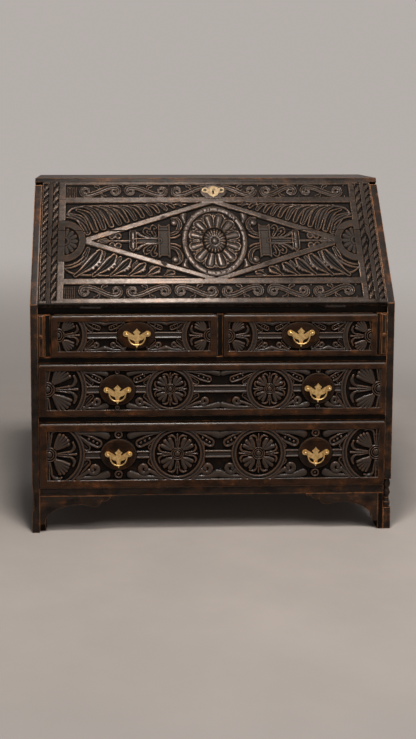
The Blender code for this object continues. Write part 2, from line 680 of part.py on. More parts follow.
def stroke(points, widths):
    """Outline of a strap along a run of points, from its half width at each of them."""
    spots = [Vector(point) for point in points]
    left = []
    right = []
    for index, spot in enumerate(spots):
        run = spots[min(index + 1, len(spots) - 1)] - spots[max(index - 1, 0)]
        aside = Vector((-run.y, run.x)).normalized() * widths[index]
        left.append(tuple(spot + aside))
        right.append(tuple(spot - aside))
    if widths[0] == 0:
        right = right[1:]
    if widths[-1] == 0:
        right = right[:-1]
    return left + right[::-1]


def blade(root, bend, tip, half_width):
    """Outline of one leaf, pointed at its root, from a bent middle line."""
    root = Vector(root)
    bend = Vector(bend)
    tip = Vector(tip)
    spine = []
    for share in (0, 0.4, 0.8, 1):
        spine.append(root * (1 - share) ** 2 + bend * 2 * share * (1 - share) + tip * share ** 2)
    return stroke(spine, (0, half_width * 0.8, half_width, 0))


def spandrel_place(hand, rise, across, up):
    """A place in a spandrel of the field, from shares of the way in from its stile and from its edge."""
    left, right, low, high = carving_field()
    centre = carving_middle()
    side = right if hand > 0 else left
    edge = high if rise > 0 else low
    return (side + (centre[0] - side) * across, edge + (centre[1] - edge) * up)


def low_leaves(hand):
    """Pairs of a narrow and a broad leaf, which march along the lower edge of the lozenge."""
    outlines = []
    for index in range(LOW_LEAF_PAIRS):
        root = LOW_LEAF_START + LOW_LEAF_STEP * index
        reach = LOW_LEAF_REACH * (1 - root)
        width = LOW_LEAF_HALF_WIDTH * (1 - root * 0.75)
        for share, girth in ((0.42, 0.55), (1.0, 1.0)):
            tip = root + reach * share
            crown = LEAF_CROWN - LEAF_SLOPE * tip
            knee = LEAF_ROOT + (crown - LEAF_ROOT) * 0.3
            start = spandrel_place(hand, -1, root + reach * 0.25 * (1 - share), LEAF_ROOT)
            bend = spandrel_place(hand, -1, root + reach * share * 0.75, knee)
            end = spandrel_place(hand, -1, tip, crown)
            outlines.append(blade(start, bend, end, width * girth))
    return outlines


def high_leaves(hand):
    """Feather-like leaves, which hang from the field's upper edge to the lozenge."""
    outlines = []
    for index in range(HIGH_LEAVES):
        tip = HIGH_LEAF_START + HIGH_LEAF_STEP * index
        crown = LEAF_CROWN - LEAF_SLOPE * tip
        root = tip - HIGH_LEAF_REACH * min(1, crown * 1.6 + 0.2)
        hang = max(LEAF_ROOT * min(1, crown * 2), LEAF_ROOT * 2.6 - index * LEAF_ROOT)
        start = spandrel_place(hand, 1, root, hang)
        bend = spandrel_place(hand, 1, root + (tip - root) * 0.8, hang + (crown - hang) * 0.25)
        end = spandrel_place(hand, 1, tip, crown)
        outlines.append(blade(start, bend, end, HIGH_LEAF_HALF_WIDTH * (1 - tip * 0.7)))
    return outlines


def scrolls(low, first):
    """A frieze of S-shaped straps, each ending in two volutes; first tells which way the first one leans."""
    left, right = carving_field()[:2]
    start = left + SCROLL_INSETS[0]
    pitch = (right - SCROLL_INSETS[1] - start) / SCROLLS
    middle = low + FRIEZE_HEIGHT / 2
    volute = FRIEZE_HEIGHT * 0.45
    strap = SCROLL_STRAP / 2
    outlines = []
    for index in range(SCROLLS):
        lean = first if index % 2 == 0 else -first
        near = start + pitch * (index + 0.18)
        far = start + pitch * (index + 0.82)
        for centre in (near, far):
            outlines.append(arc((centre, middle), volute, volute, 0, 360, 8)[:-1])
        rise = lean * (volute - strap)
        route = [(near, middle - rise), (near + pitch * 0.16, middle - rise * 0.8),
                 (far - pitch * 0.16, middle + rise * 0.8), (far, middle + rise)]
        outlines.append(stroke(route, (strap, strap, strap, strap)))
    return outlines


def strapwork(hand):
    """Tablet, plaque, bar, volutes, sprig and bud between the ring and one tip of the lozenge."""
    centre = carving_middle()
    notch = TABLET_HALF_HEIGHT - TABLET_NOTCH
    third = TABLET_HALF_WIDTH * 0.4
    tablet = [(-TABLET_HALF_WIDTH, -TABLET_HALF_HEIGHT), (-third, -notch), (third, -notch),
              (TABLET_HALF_WIDTH, -TABLET_HALF_HEIGHT), (TABLET_HALF_WIDTH, TABLET_HALF_HEIGHT),
              (third, notch), (-third, notch), (-TABLET_HALF_WIDTH, TABLET_HALF_HEIGHT)]
    shoulder = PLAQUE_HALF_HEIGHT - PLAQUE_HALF_WIDTH
    plaque = [(-PLAQUE_HALF_WIDTH, -shoulder), (0, -PLAQUE_HALF_HEIGHT), (PLAQUE_HALF_WIDTH, -shoulder),
              (PLAQUE_HALF_WIDTH, shoulder), (0, PLAQUE_HALF_HEIGHT), (-PLAQUE_HALF_WIDTH, shoulder)]
    forms = [[(TABLET_REACH + x, y) for x, y in tablet], [(PLAQUE_REACH + x, y) for x, y in plaque]]
    forms.append(stroke([(TABLET_REACH, 0), (PLAQUE_REACH, 0)], (BAR_HALF_HEIGHT, BAR_HALF_HEIGHT)))
    for rise in (-1, 1):
        ball = (VOLUTE_REACH, rise * VOLUTE_DROP)
        forms.append(arc(ball, VOLUTE_RADIUS, VOLUTE_RADIUS, 0, 360, 6)[:-1])
        inner = VOLUTE_REACH - VOLUTE_RADIUS * 1.6
        route = [(TABLET_REACH, ball[1] * 0.3), (inner, ball[1] * 0.45),
                 (inner - VOLUTE_RADIUS * 0.4, ball[1]), (VOLUTE_REACH, ball[1] * 1.18)]
        forms.append(stroke(route, (BAR_HALF_HEIGHT * 0.6,) * 4))
        for run in (-SPRIG_LOBE, SPRIG_LOBE):
            lobe = (SPRIG_REACH + run, rise * SPRIG_LOBE * 1.7)
            forms.append(arc(lobe, SPRIG_LOBE, SPRIG_LOBE, 30, 390, 5)[:-1])
    bud_start = SPRIG_REACH + SPRIG_LOBE * 2
    forms.append(stroke([(bud_start, 0), ((bud_start + BUD_REACH) / 2, 0), (BUD_REACH, 0)],
                        (SPRIG_LOBE * 0.6, SPRIG_LOBE, 0)))
    return [[(centre[0] + hand * x, centre[1] + y) for x, y in outline] for outline in forms]


def lozenge():
    """Four straight bands from the tips beside the stiles to the apexes at the field's edges."""
    left, right, low, high = carving_field()
    centre = carving_middle()
    half = LOZENGE_BAND / 2
    bands = []
    for tip in (left + LOZENGE_INSETS[0], right - LOZENGE_INSETS[1]):
        for apex in (low - LOZENGE_OVERRUN, high + LOZENGE_OVERRUN):
            outer = (tip + (tip - centre[0]) * 0.04, centre[1] + (centre[1] - apex) * 0.04)
            bands.append(stroke([outer, (centre[0], apex)], (half, half)))
    return bands


def standing(outlines):
    """The forms that the grounds are cut round, as tall prisms."""
    return joined(*[prism(outline, "Z", 0, FALL_THICKNESS + 2 * OVERCUT) for outline in outlines])


def ground(x, y, depth):
    return box(x, y, (FALL_THICKNESS - depth, FALL_THICKNESS + OVERCUT))


def carve_fall(fall, lower, upper):
    """Sink the fall's field and its two friezes round their ornament, then the middles of the rosettes."""
    left, right, low, high = carving_field()
    centre = carving_middle()
    low_frieze = (LOWER_LIP, LOWER_LIP + FRIEZE_HEIGHT)
    high_frieze = (high + BAND_HEIGHT, high + BAND_HEIGHT + FRIEZE_HEIGHT)
    sunk = hidden("fall_grounds", joined(ground((left, right), (low, high), FIELD_DEPTH),
                                         ground((left, right), low_frieze, FRIEZE_DEPTH),
                                         ground((left, right), high_frieze, FRIEZE_DEPTH)), fall)
    forms = [arc(centre, RING_HALF_WIDTH, RING_HALF_HEIGHT, 0, 360, RING_SIDES)[:-1]]
    forms += lozenge()
    for hand, side in ((-1, left), (1, right)):
        forms.append(arc((side, centre[1]), *HALF_ROSETTE, 0, 360, 16)[:-1])
        forms += low_leaves(hand) + high_leaves(hand) + strapwork(hand)
    forms += scrolls(low_frieze[0], -1) + scrolls(high_frieze[0], 1)
    keyhole = FALL_LENGTH - KEYHOLE_DROP
    pad = ESCUTCHEON_EYE_SPACING / 2 + 2 * ESCUTCHEON_EAR
    forms.append(arc((LOCK_CENTRE, keyhole), pad, FRIEZE_HEIGHT, 0, 360, 10)[:-1])
    combine(sunk, hidden("fall_forms", standing(forms), fall), "DIFFERENCE", True)

    inner = (RING_HALF_WIDTH - RING_WIDTH, RING_HALF_HEIGHT - RING_WIDTH)
    floor = FALL_THICKNESS - FIELD_DEPTH
    hollows = [prism(arc(centre, *inner, 0, 360, RING_SIDES)[:-1], "Z", floor, FALL_THICKNESS + OVERCUT)]
    bowl_size = (HALF_ROSETTE[0] - HALF_ROSETTE_RING, HALF_ROSETTE[1] - HALF_ROSETTE_RING)
    for side, turn in ((left, -90), (right, 90)):
        bowl = arc((side, centre[1]), *bowl_size, turn, turn + 180, 8)
        hollows.append(prism(bowl, "Z", FALL_THICKNESS - ROSETTE_DEPTH, FALL_THICKNESS + OVERCUT))
    bowls = hidden("fall_hollows", joined(*hollows), fall)
    disc = (DISC_HALF_WIDTH, DISC_HALF_WIDTH * RING_HALF_HEIGHT / RING_HALF_WIDTH)
    petals = [arc(centre, *disc, 0, 360, DISC_SIDES)[:-1]]
    for index in range(PETALS):
        turn = math.tau * (index + 0.5) / PETALS
        way = Vector((math.cos(turn) * RING_HALF_WIDTH, math.sin(turn) * RING_HALF_HEIGHT))
        spine = [Vector(centre) + way * share for share in (0.33, 0.68, 0.79)]
        petals.append(stroke(spine, (PETAL_HALF_WIDTH * 0.5, PETAL_HALF_WIDTH, PETAL_HALF_WIDTH * 0.45)))
    combine(bowls, hidden("fall_petals", standing(petals), fall), "DIFFERENCE", True)
    for board in (lower, upper):
        combine(board, sunk, "DIFFERENCE")
        combine(board, bowls, "DIFFERENCE")


def build_fall(fall, oak, brass, iron):
    """Two boards with tongued ends in grooved cleats. Local Y runs up the slope, Z out of the face."""
    inner = FALL_HALF_WIDTH - CLEAT_WIDTH
    tongue_low = (FALL_THICKNESS - TONGUE_THICKNESS) / 2
    tongue_high = tongue_low + TONGUE_THICKNESS
    shoulder = inner - SEAT_GAP
    tip = inner + TONGUE_LENGTH - SEAT_GAP
    half = [(shoulder, 0), (shoulder, tongue_low + SEAT_GAP), (tip, tongue_low + SEAT_GAP),
            (tip, tongue_high - SEAT_GAP), (shoulder, tongue_high - SEAT_GAP), (shoulder, FALL_THICKNESS)]
    section = half + mirrored(half)
    lower = place("fall_lower_board", prism(section, "Y", 0, FALL_SEAM - SEAT_GAP / 2), fall, oak)
    upper = place("fall_upper_board", prism(section, "Y", FALL_SEAM + SEAT_GAP / 2, FALL_LENGTH), fall, oak)
    arris = arc((FALL_HALF_WIDTH - FALL_EDGE_ROUND, FALL_THICKNESS - FALL_EDGE_ROUND),
                FALL_EDGE_ROUND, FALL_EDGE_ROUND, 0, 90, 3)
    groove = inner + TONGUE_LENGTH
    for name, hand in (("fall_left_cleat", -1), ("fall_right_cleat", 1)):
        cleat = [(inner, 0), (FALL_HALF_WIDTH, 0)] + arris
        cleat += [(inner, FALL_THICKNESS), (inner, tongue_high), (groove, tongue_high),
                  (groove, tongue_low), (inner, tongue_low)]
        cleat = [(hand * x, z) for x, z in cleat]
        place(name, prism(cleat, "Y", 0, FALL_LENGTH), fall, oak)

    for hand, label in ((-1, "left"), (1, "right")):
        centre = hand * HINGE_OFFSET
        cut(lower, knuckle_clearance(centre, (0, 0)))
        cut(lower, box(leaf_span(centre, SEAT_GAP), (-OVERCUT, HINGE_LEAF + SEAT_GAP),
                       (-OVERCUT, HINGE_LEAF_THICKNESS + SEAT_GAP)))
        hinge_leaf(f"{label}_hinge_fall_leaf", fall, centre, (0, 0), brass, True)

    lock_x = (LOCK_CENTRE - LOCK_WIDTH / 2, LOCK_CENTRE + LOCK_WIDTH / 2)
    cut(upper, box((lock_x[0] - SEAT_GAP, lock_x[1] + SEAT_GAP),
                   (FALL_LENGTH - LOCK_HEIGHT - SEAT_GAP, FALL_LENGTH + OVERCUT),
                   (-OVERCUT, LOCK_DEPTH + SEAT_GAP)))
    cut(upper, prism(keyhole_outline(), "Z", LOCK_DEPTH - OVERCUT, FALL_THICKNESS + OVERCUT))
    carve_fall(fall, lower, upper)
    lock = place("fall_lock", box(lock_x, (FALL_LENGTH - LOCK_HEIGHT, FALL_LENGTH), (0, LOCK_DEPTH)),
                 fall, iron)
    cut(lock, box(bolt_width(SEAT_GAP), (FALL_LENGTH - BOLT_LENGTH - SEAT_GAP, FALL_LENGTH + OVERCUT),
                  bolt_depth(SEAT_GAP)))
    cut(lock, prism(keyhole_outline(), "Z", bolt_depth()[1], LOCK_DEPTH + OVERCUT))

    plate = prism(escutcheon_outline(), "Z", FALL_THICKNESS + SEAT_GAP,
                  FALL_THICKNESS + SEAT_GAP + ESCUTCHEON_THICKNESS)
    escutcheon = place("fall_escutcheon", plate, fall, brass)
    eyes = [rod(ESCUTCHEON_EYE, 0, FALL_THICKNESS + OVERCUT, 12, "Z", (LOCK_CENTRE + hand * run, rise, 0))
            for hand in (-1, 1) for run, rise in (eye_place(),)]
    cut(escutcheon, joined(*eyes))
    cut(escutcheon, prism(keyhole_outline(), "Z", FALL_THICKNESS - OVERCUT, FALL_THICKNESS + OVERCUT))


def eye_place():
    """Middle of the escutcheon's right eye, from the lock's middle line and from the hinge axis."""
    return (ESCUTCHEON_EYE_SPACING / 2, FALL_LENGTH - KEYHOLE_DROP + ESCUTCHEON_EYE_RISE)


def escutcheon_outline():
    """Batwing plate round the keyhole: two pierced ears, a pointed crown and a pointed tail."""
    middle = FALL_LENGTH - KEYHOLE_DROP
    half = [(x, middle + y) for x, y in ESCUTCHEON_TAIL_EDGE]
    half += arc(eye_place(), ESCUTCHEON_EAR, ESCUTCHEON_EAR, -100, 118, 9)
    half += [(x, middle + y) for x, y in ESCUTCHEON_CROWN_EDGE]
    outline = half[:-1] + mirrored(half)[:-1]
    return [(LOCK_CENTRE + x, y) for x, y in outline]


def build_bolt(bolt, iron):
    long = (FALL_LENGTH - BOLT_LENGTH, FALL_LENGTH)
    place("fall_lock_bolt", box(bolt_width(), long, bolt_depth()), bolt, iron)


def knob(radius, length, at):
    """Small turned knob that stands out of a front, its shank sunk into the wood."""
    shank = radius * 0.5
    profile = [(0, -OVERCUT / 2), (shank, -OVERCUT / 2), (shank, length * 0.38), (radius, length * 0.62),
               (radius * 0.94, length * 0.84), (radius * 0.5, length), (0, length)]
    return turned(profile, 12, "-Y", at)


def build_loper(name, loper, oak):
    """Sliding bearer with a chamfered end and a small knob. Local Y = 0 is the carcase front."""
    half = LOPER_THICKNESS / 2
    tall = (SHORT_FLOOR + SEAT_GAP, BED_UNDERSIDE - LOPER_RUN)
    bm = box((-half, half), (-LOPER_PROUD, LOPER_LENGTH - LOPER_PROUD), tall)
    front = min(bm.faces, key=lambda face: face.calc_center_median().y)
    bmesh.ops.bevel(bm, geom=list(front.edges), offset=LOPER_CHAMFER, segments=1, affect="EDGES", profile=0.5)
    piece = place(name, bm, loper, oak)
    grow(piece, knob(LOPER_KNOB_RADIUS, 2 * LOPER_KNOB_RADIUS, (0, -LOPER_PROUD, sum(tall) / 2)))


def drawer_front(width, height, pads):
    """Lapped drawer front: rounded arris, sunk panel. Returned with its pads as separate forms."""
    half = width / 2
    back = DRAWER_FRONT_BACK
    lap = back - DRAWER_LAP
    inner = half - DRAWER_SIDE_THICKNESS - SEAT_GAP
    outline = [(-half, -DRAWER_PROUD), (half, -DRAWER_PROUD), (half, lap), (inner, lap), (inner, back),
               (-inner, back), (-inner, lap), (-half, lap)]
    bm = prism(outline, "Z", SEAT_GAP, height)
    bmesh.ops.recalc_face_normals(bm, faces=bm.faces)
    face = min(bm.faces, key=lambda part: part.calc_center_median().y)
    rim = list(face.edges)
    bmesh.ops.bevel(bm, geom=rim, offset=DRAWER_EDGE_ROUND, segments=3, affect="EDGES", profile=0.5)
    face = max((part for part in bm.faces if part.normal.y < -0.99), key=lambda part: part.calc_area())
    bmesh.ops.inset_region(bm, faces=[face], thickness=PANEL_BORDER - DRAWER_EDGE_ROUND, depth=0)
    bmesh.ops.translate(bm, vec=(0, PANEL_SINK, 0), verts=face.verts)
    floor = PANEL_SINK - DRAWER_PROUD
    raised = [prism(arc(pad, PAD_HALF_WIDTH, PAD_HALF_HEIGHT, 0, 345, 23), "Y", PAD_FACE, floor + OVERCUT / 2)
              for pad in pads]
    return bm, raised


def build_drawer(name, drawer, width, height, pads, oak, raw_oak):
    front_mesh, raised = drawer_front(width, height, pads)
    front = place(f"{name}_front", front_mesh, drawer, oak)
    grow(front, joined(*raised))

    half = width / 2
    inner = half - DRAWER_SIDE_THICKNESS
    start = DRAWER_START
    back = DRAWER_BACK
    outline = [(-half, start), (-half, back), (half, back), (half, start), (inner, start),
               (inner, back - DRAWER_SIDE_THICKNESS), (-inner, back - DRAWER_SIDE_THICKNESS), (-inner, start)]
    sides = place(f"{name}_carcase", prism(outline, "Z", SEAT_GAP, height - DRAWER_SIDE_DROP),
                  drawer, raw_oak)
    groove = inner + DRAWER_GROOVE
    groove_back = back - DRAWER_SIDE_THICKNESS + DRAWER_GROOVE
    low = DRAWER_BOTTOM_RAISE
    cut(sides, box((-groove, groove), (start - OVERCUT, groove_back),
                   (low - SEAT_GAP, low + DRAWER_BOTTOM_THICKNESS + SEAT_GAP)))
    deep = (DRAWER_FRONT_BACK + SEAT_GAP, groove_back - SEAT_GAP)
    place(f"{name}_bottom", box((-groove + SEAT_GAP, groove - SEAT_GAP), deep,
                                (low, low + DRAWER_BOTTOM_THICKNESS)), drawer, raw_oak)


def plate_outline():
    """Batwing handle plate about the bail's axis: pointed crown, round ears, scalloped wings, long tail."""
    bore = BORE_SPACING / 2
    half = list(PLATE_TAIL_EDGE) + [(bore + x, z) for x, z in PLATE_UNDER_EAR]
    half += arc((bore, 0), EAR_RADIUS, EAR_RADIUS, -112, 140, 9)
    half += [(bore + x, z) for x, z in PLATE_OVER_EAR] + list(PLATE_CROWN_EDGE)
    return half[:-1] + mirrored(half)[:-1]


def build_handle(name, drawer, x, z, brass):
    """Plate with two posts, and the bail that hangs between them on its own axis."""
    outline = [(x + run, z + rise) for run, rise in plate_outline()]
    plate = place(f"{name}_plate", prism(outline, "Y", PLATE_FRONT, PLATE_BACK), drawer, brass, 40)
    bore = BORE_SPACING / 2
    head = [(0, -PLATE_THICKNESS / 2), (POST_RADIUS, -PLATE_THICKNESS / 2)]
    head += arc((0, BAIL_REACH), POST_HEAD_RADIUS, POST_HEAD_RADIUS, -48, 72, 4)
    head.append((0, BAIL_REACH + POST_HEAD_RADIUS))
    for hand in (-1, 1):
        grow(plate, turned(head, 12, "-Y", (x + hand * bore, PLATE_FRONT, z)))
    holes = rod(BAIL_HOLE_RADIUS, -bore - 2 * POST_HEAD_RADIUS, bore + 2 * POST_HEAD_RADIUS, 10, "X",
                (x, BAIL_AXIS, z))
    cut(plate, holes)

    pivot = frame(f"{name}_axis", drawer, (x, BAIL_AXIS, z))
    curve = bpy.data.curves.new(f"{name}_bail", "CURVE")
    curve.dimensions = "3D"
    curve.bevel_depth = BAIL_RADIUS
    curve.bevel_resolution = 1
    curve.use_fill_caps = True
    route = bail_route()
    spline = curve.splines.new("POLY")
    spline.points.add(len(route) - 1)
    for point, (run, rise) in zip(spline.points, route):
        point.co = (run, 0, rise, 1)
    bail = bpy.data.objects.new(f"{name}_bail", curve)
    bpy.context.scene.collection.objects.link(bail)
    bail.parent = pivot
    bail.data.materials.append(brass)


def bail_route():
    """Half of the bail from its pin in the post to the bottom of the bow, then the other half."""
    pin = BORE_SPACING / 2 + POST_HEAD_RADIUS * 0.6
    elbow = (BAIL_HALF_WIDTH + BAIL_ELBOW, -BAIL_ELBOW)
    half = [(pin, 0)] + arc(elbow, BAIL_ELBOW, BAIL_ELBOW, 90, 180, 4)
    bow = BAIL_DROP - BAIL_ELBOW
    for step in range(1, 8):
        angle = math.pi / 2 * step / 8
        half.append((BAIL_HALF_WIDTH * math.cos(angle) ** 0.82, -BAIL_ELBOW - bow * math.sin(angle) ** 0.95))
    half.append((0, -BAIL_DROP))
    return half + mirrored(half)[1:]


def small_drawer_span():
    """Width of one small drawer's opening."""
    return (2 * GALLERY_HALF_WIDTH - (SMALL_DRAWERS + 1) * GALLERY_WALL) / SMALL_DRAWERS


def small_drawer_left(index):
    return -GALLERY_HALF_WIDTH + GALLERY_WALL + index * (small_drawer_span() + GALLERY_WALL)


def pigeonhole_spans():
    """Left and right limits of each pigeonhole, with the wide niche in the middle."""
    pitch = (GALLERY_HALF_WIDTH - NICHE_WIDTH / 2 - GALLERY_WALL) / PIGEONHOLES_EACH_SIDE
    lefts = [-GALLERY_HALF_WIDTH + GALLERY_WALL + index * pitch for index in range(PIGEONHOLES_EACH_SIDE)]
    spans = [(left, left + pitch - GALLERY_WALL) for left in lefts]
    niche = [(-NICHE_WIDTH / 2, NICHE_WIDTH / 2)]
    return spans + niche + [(-right, -left) for left, right in reversed(spans)]


def build_gallery(carcase, oak):
    """Case for the small drawers, and the pigeonholes with their arched valances on top of it."""
    deep = (GALLERY_FRONT, BOARD_BACK)
    inside = (GALLERY_FRONT - OVERCUT, BOARD_BACK - GALLERY_WALL)
    across = (-GALLERY_HALF_WIDTH, GALLERY_HALF_WIDTH)
    case = place("small_drawer_case", box(across, deep, (GALLERY_FLOOR, DRAWER_CASE_TOP)), carcase, oak)
    low = GALLERY_FLOOR + GALLERY_WALL
    pockets = [box((small_drawer_left(index), small_drawer_left(index) + small_drawer_span()), inside,
                   (low, low + SMALL_DRAWER_OPENING)) for index in range(SMALL_DRAWERS)]
    cut(case, joined(*pockets))

    floor = DRAWER_CASE_TOP + SEAT_GAP
    ceiling = TOP_UNDERSIDE - SEAT_GAP
    holes = place("pigeonholes", box(across, deep, (floor, ceiling)), carcase, oak)
    behind = GALLERY_FRONT + VALANCE_DEPTH
    hollows = []
    mouths = []
    for left, right in pigeonhole_spans():
        middle = (left + right) / 2
        half = (right - left) / 2
        hollows.append(box((left, right), (behind, BOARD_BACK - GALLERY_WALL),
                           (floor + GALLERY_WALL, ceiling - GALLERY_WALL)))
        spring = ceiling - GALLERY_WALL - VALANCE_DROP
        crown = arc((middle, spring), half, VALANCE_ARCH, 0, 180, 10)
        mouth = [(right, floor + GALLERY_WALL)] + crown + [(left, floor + GALLERY_WALL)]
        mouths.append(prism(mouth, "Y", GALLERY_FRONT - OVERCUT, behind + OVERCUT))
    cut(holes, joined(*hollows))
    cut(holes, joined(*mouths))


def build_small_drawer(name, drawer, width, oak):
    """Small inner drawer, hollowed from above, with a turned knob. Local Y = 0 is the face of its case."""
    half = width / 2
    tall = (SEAT_GAP, SMALL_DRAWER_OPENING - SMALL_DRAWER_RUN)
    back = BOARD_BACK - GALLERY_WALL - SMALL_DRAWER_RUN - GALLERY_FRONT
    piece = place(name, box((-half, half), (0, back), tall), drawer, oak)
    wall = SMALL_DRAWER_WALL
    cut(piece, box((-half + wall, half - wall), (SMALL_DRAWER_FRONT, back - wall),
                   (tall[0] + wall, tall[1] + OVERCUT)))
    grow(piece, knob(SMALL_KNOB_RADIUS, 2 * SMALL_KNOB_RADIUS, (0, 0, sum(tall) / 2)))


def build_drawers(carcase, oak, raw_oak, brass):
    long_span = (-SIDE_INNER, SIDE_INNER)
    plan = (("short_left_drawer", (LEFT_OPENING, DIVIDER_LEFT), SHORT_FLOOR, SHORT_DRAWER_OPENING,
             (SHORT_LEFT_HANDLE,), SHORT_HANDLE_RISE),
            ("short_right_drawer", (DIVIDER_RIGHT, RIGHT_OPENING), SHORT_FLOOR, SHORT_DRAWER_OPENING,
             (SHORT_RIGHT_HANDLE,), SHORT_HANDLE_RISE),
            ("upper_drawer", long_span, UPPER_FLOOR, UPPER_DRAWER_OPENING, UPPER_HANDLES, UPPER_HANDLE_RISE),
            ("lower_drawer", long_span, BASE_TOP, LOWER_DRAWER_OPENING, LOWER_HANDLES, LOWER_HANDLE_RISE))
    for name, span, floor, opening, handles, rise in plan:
        middle = sum(span) / 2
        drawer = frame(f"{name}_slide", carcase, (middle, 0, floor))
        pads = [(x - middle, rise) for x in handles]
        width = span[1] - span[0] - 2 * DRAWER_RUN
        build_drawer(name, drawer, width, opening - DRAWER_RUN, pads, oak, raw_oak)
        hands = ("left", "right") if len(handles) > 1 else ("",)
        for hand, (x, z) in zip(hands, pads):
            label = f"{name}_{hand}_handle" if hand else f"{name}_handle"
            build_handle(label, drawer, x, z, brass)


def main():
    for old in list(bpy.data.objects):
        bpy.data.objects.remove(old)
    oak = finish("carved dark oak", (0.050, 0.030, 0.019), 0.42)
    raw_oak = finish("unpolished oak", (0.170, 0.096, 0.048), 0.70)
    brass = finish("aged brass", (0.620, 0.410, 0.150), 0.34, 1.0)
    iron = finish("forged iron", (0.070, 0.066, 0.062), 0.55, 1.0)

    carcase = frame("carcase_front_edge", location=(0, CARCASE_FRONT, 0))
    build_sides(carcase, oak)
    build_top(carcase, oak)
    build_boards(carcase, oak, raw_oak)
    build_partitions(carcase, oak)
    build_feet(carcase, oak)
    build_gallery(carcase, oak)
    for hand, label in ((-1, "left"), (1, "right")):
        hinge_leaf(f"{label}_hinge_bed_leaf", carcase, hand * HINGE_OFFSET, (HINGE_Y, BED_TOP), brass, False)

    fall = frame("fall_hinge_axis", carcase, (0, HINGE_Y, BED_TOP), (SLOPE_ANGLE, 0, 0))
    build_fall(fall, oak, brass, iron)
    build_bolt(frame("fall_lock_bolt_slide", fall), iron)

    for hand, label in ((-1, "left"), (1, "right")):
        loper = frame(f"{label}_loper_slide", carcase, (hand * (SIDE_INNER - LOPER_SLOT / 2), 0, 0))
        build_loper(f"{label}_loper", loper, oak)

    build_drawers(carcase, oak, raw_oak, brass)
    for index in range(SMALL_DRAWERS):
        middle = small_drawer_left(index) + small_drawer_span() / 2
        name = f"small_drawer_{index + 1}"
        slide = frame(f"{name}_slide", carcase, (middle, GALLERY_FRONT, GALLERY_FLOOR + GALLERY_WALL))
        build_small_drawer(name, slide, small_drawer_span() - 2 * SMALL_DRAWER_RUN, raw_oak)


main()
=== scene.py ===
import json
import math

import bmesh
import bpy
import numpy as np
from mathutils import Matrix, Vector


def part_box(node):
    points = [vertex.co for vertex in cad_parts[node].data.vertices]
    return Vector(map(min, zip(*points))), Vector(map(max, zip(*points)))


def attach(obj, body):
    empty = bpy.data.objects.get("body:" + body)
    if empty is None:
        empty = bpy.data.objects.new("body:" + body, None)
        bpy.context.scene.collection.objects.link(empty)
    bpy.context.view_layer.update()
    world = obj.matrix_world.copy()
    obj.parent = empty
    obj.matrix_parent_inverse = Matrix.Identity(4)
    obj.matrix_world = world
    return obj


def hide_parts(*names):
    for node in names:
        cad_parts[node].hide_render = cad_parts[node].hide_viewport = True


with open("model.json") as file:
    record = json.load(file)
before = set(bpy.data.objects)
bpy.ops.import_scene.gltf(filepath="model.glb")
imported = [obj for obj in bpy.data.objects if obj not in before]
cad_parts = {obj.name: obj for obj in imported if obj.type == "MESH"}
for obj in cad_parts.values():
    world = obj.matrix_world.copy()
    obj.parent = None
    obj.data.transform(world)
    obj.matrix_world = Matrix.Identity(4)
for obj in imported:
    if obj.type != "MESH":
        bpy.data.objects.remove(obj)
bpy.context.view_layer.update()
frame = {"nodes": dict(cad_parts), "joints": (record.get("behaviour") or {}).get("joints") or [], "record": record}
nodes = frame["nodes"]
joints = {joint["name"]: joint for joint in frame["joints"]}
bodies = frame["record"]["behaviour"]["bodies"]
bodyOf = {node: body for body, members in bodies.items() for node in members}
dice = np.random.default_rng(7)
print("frame loaded:", len(nodes), "nodes")


def plug(tree, socket, value):
    if isinstance(value, Wire):
        tree.links.new(value.socket, socket)
    else:
        socket.default_value = (*value, 1) if socket.type == "RGBA" else value


class Wire:  # a socket in a material; arithmetic on it adds Math nodes
    def __init__(self, tree, socket):
        self.tree = tree
        self.socket = socket

    def maths(self, operation, first, second):
        made = self.tree.nodes.new("ShaderNodeMath")
        made.operation = operation
        plug(self.tree, made.inputs[0], first)
        plug(self.tree, made.inputs[1], second)
        return Wire(self.tree, made.outputs[0])

    def __add__(self, other):
        return self.maths("ADD", self, other)

    def __radd__(self, other):
        return self.maths("ADD", other, self)

    def __sub__(self, other):
        return self.maths("SUBTRACT", self, other)

    def __rsub__(self, other):
        return self.maths("SUBTRACT", other, self)

    def __mul__(self, other):
        return self.maths("MULTIPLY", self, other)

    def __rmul__(self, other):
        return self.maths("MULTIPLY", other, self)


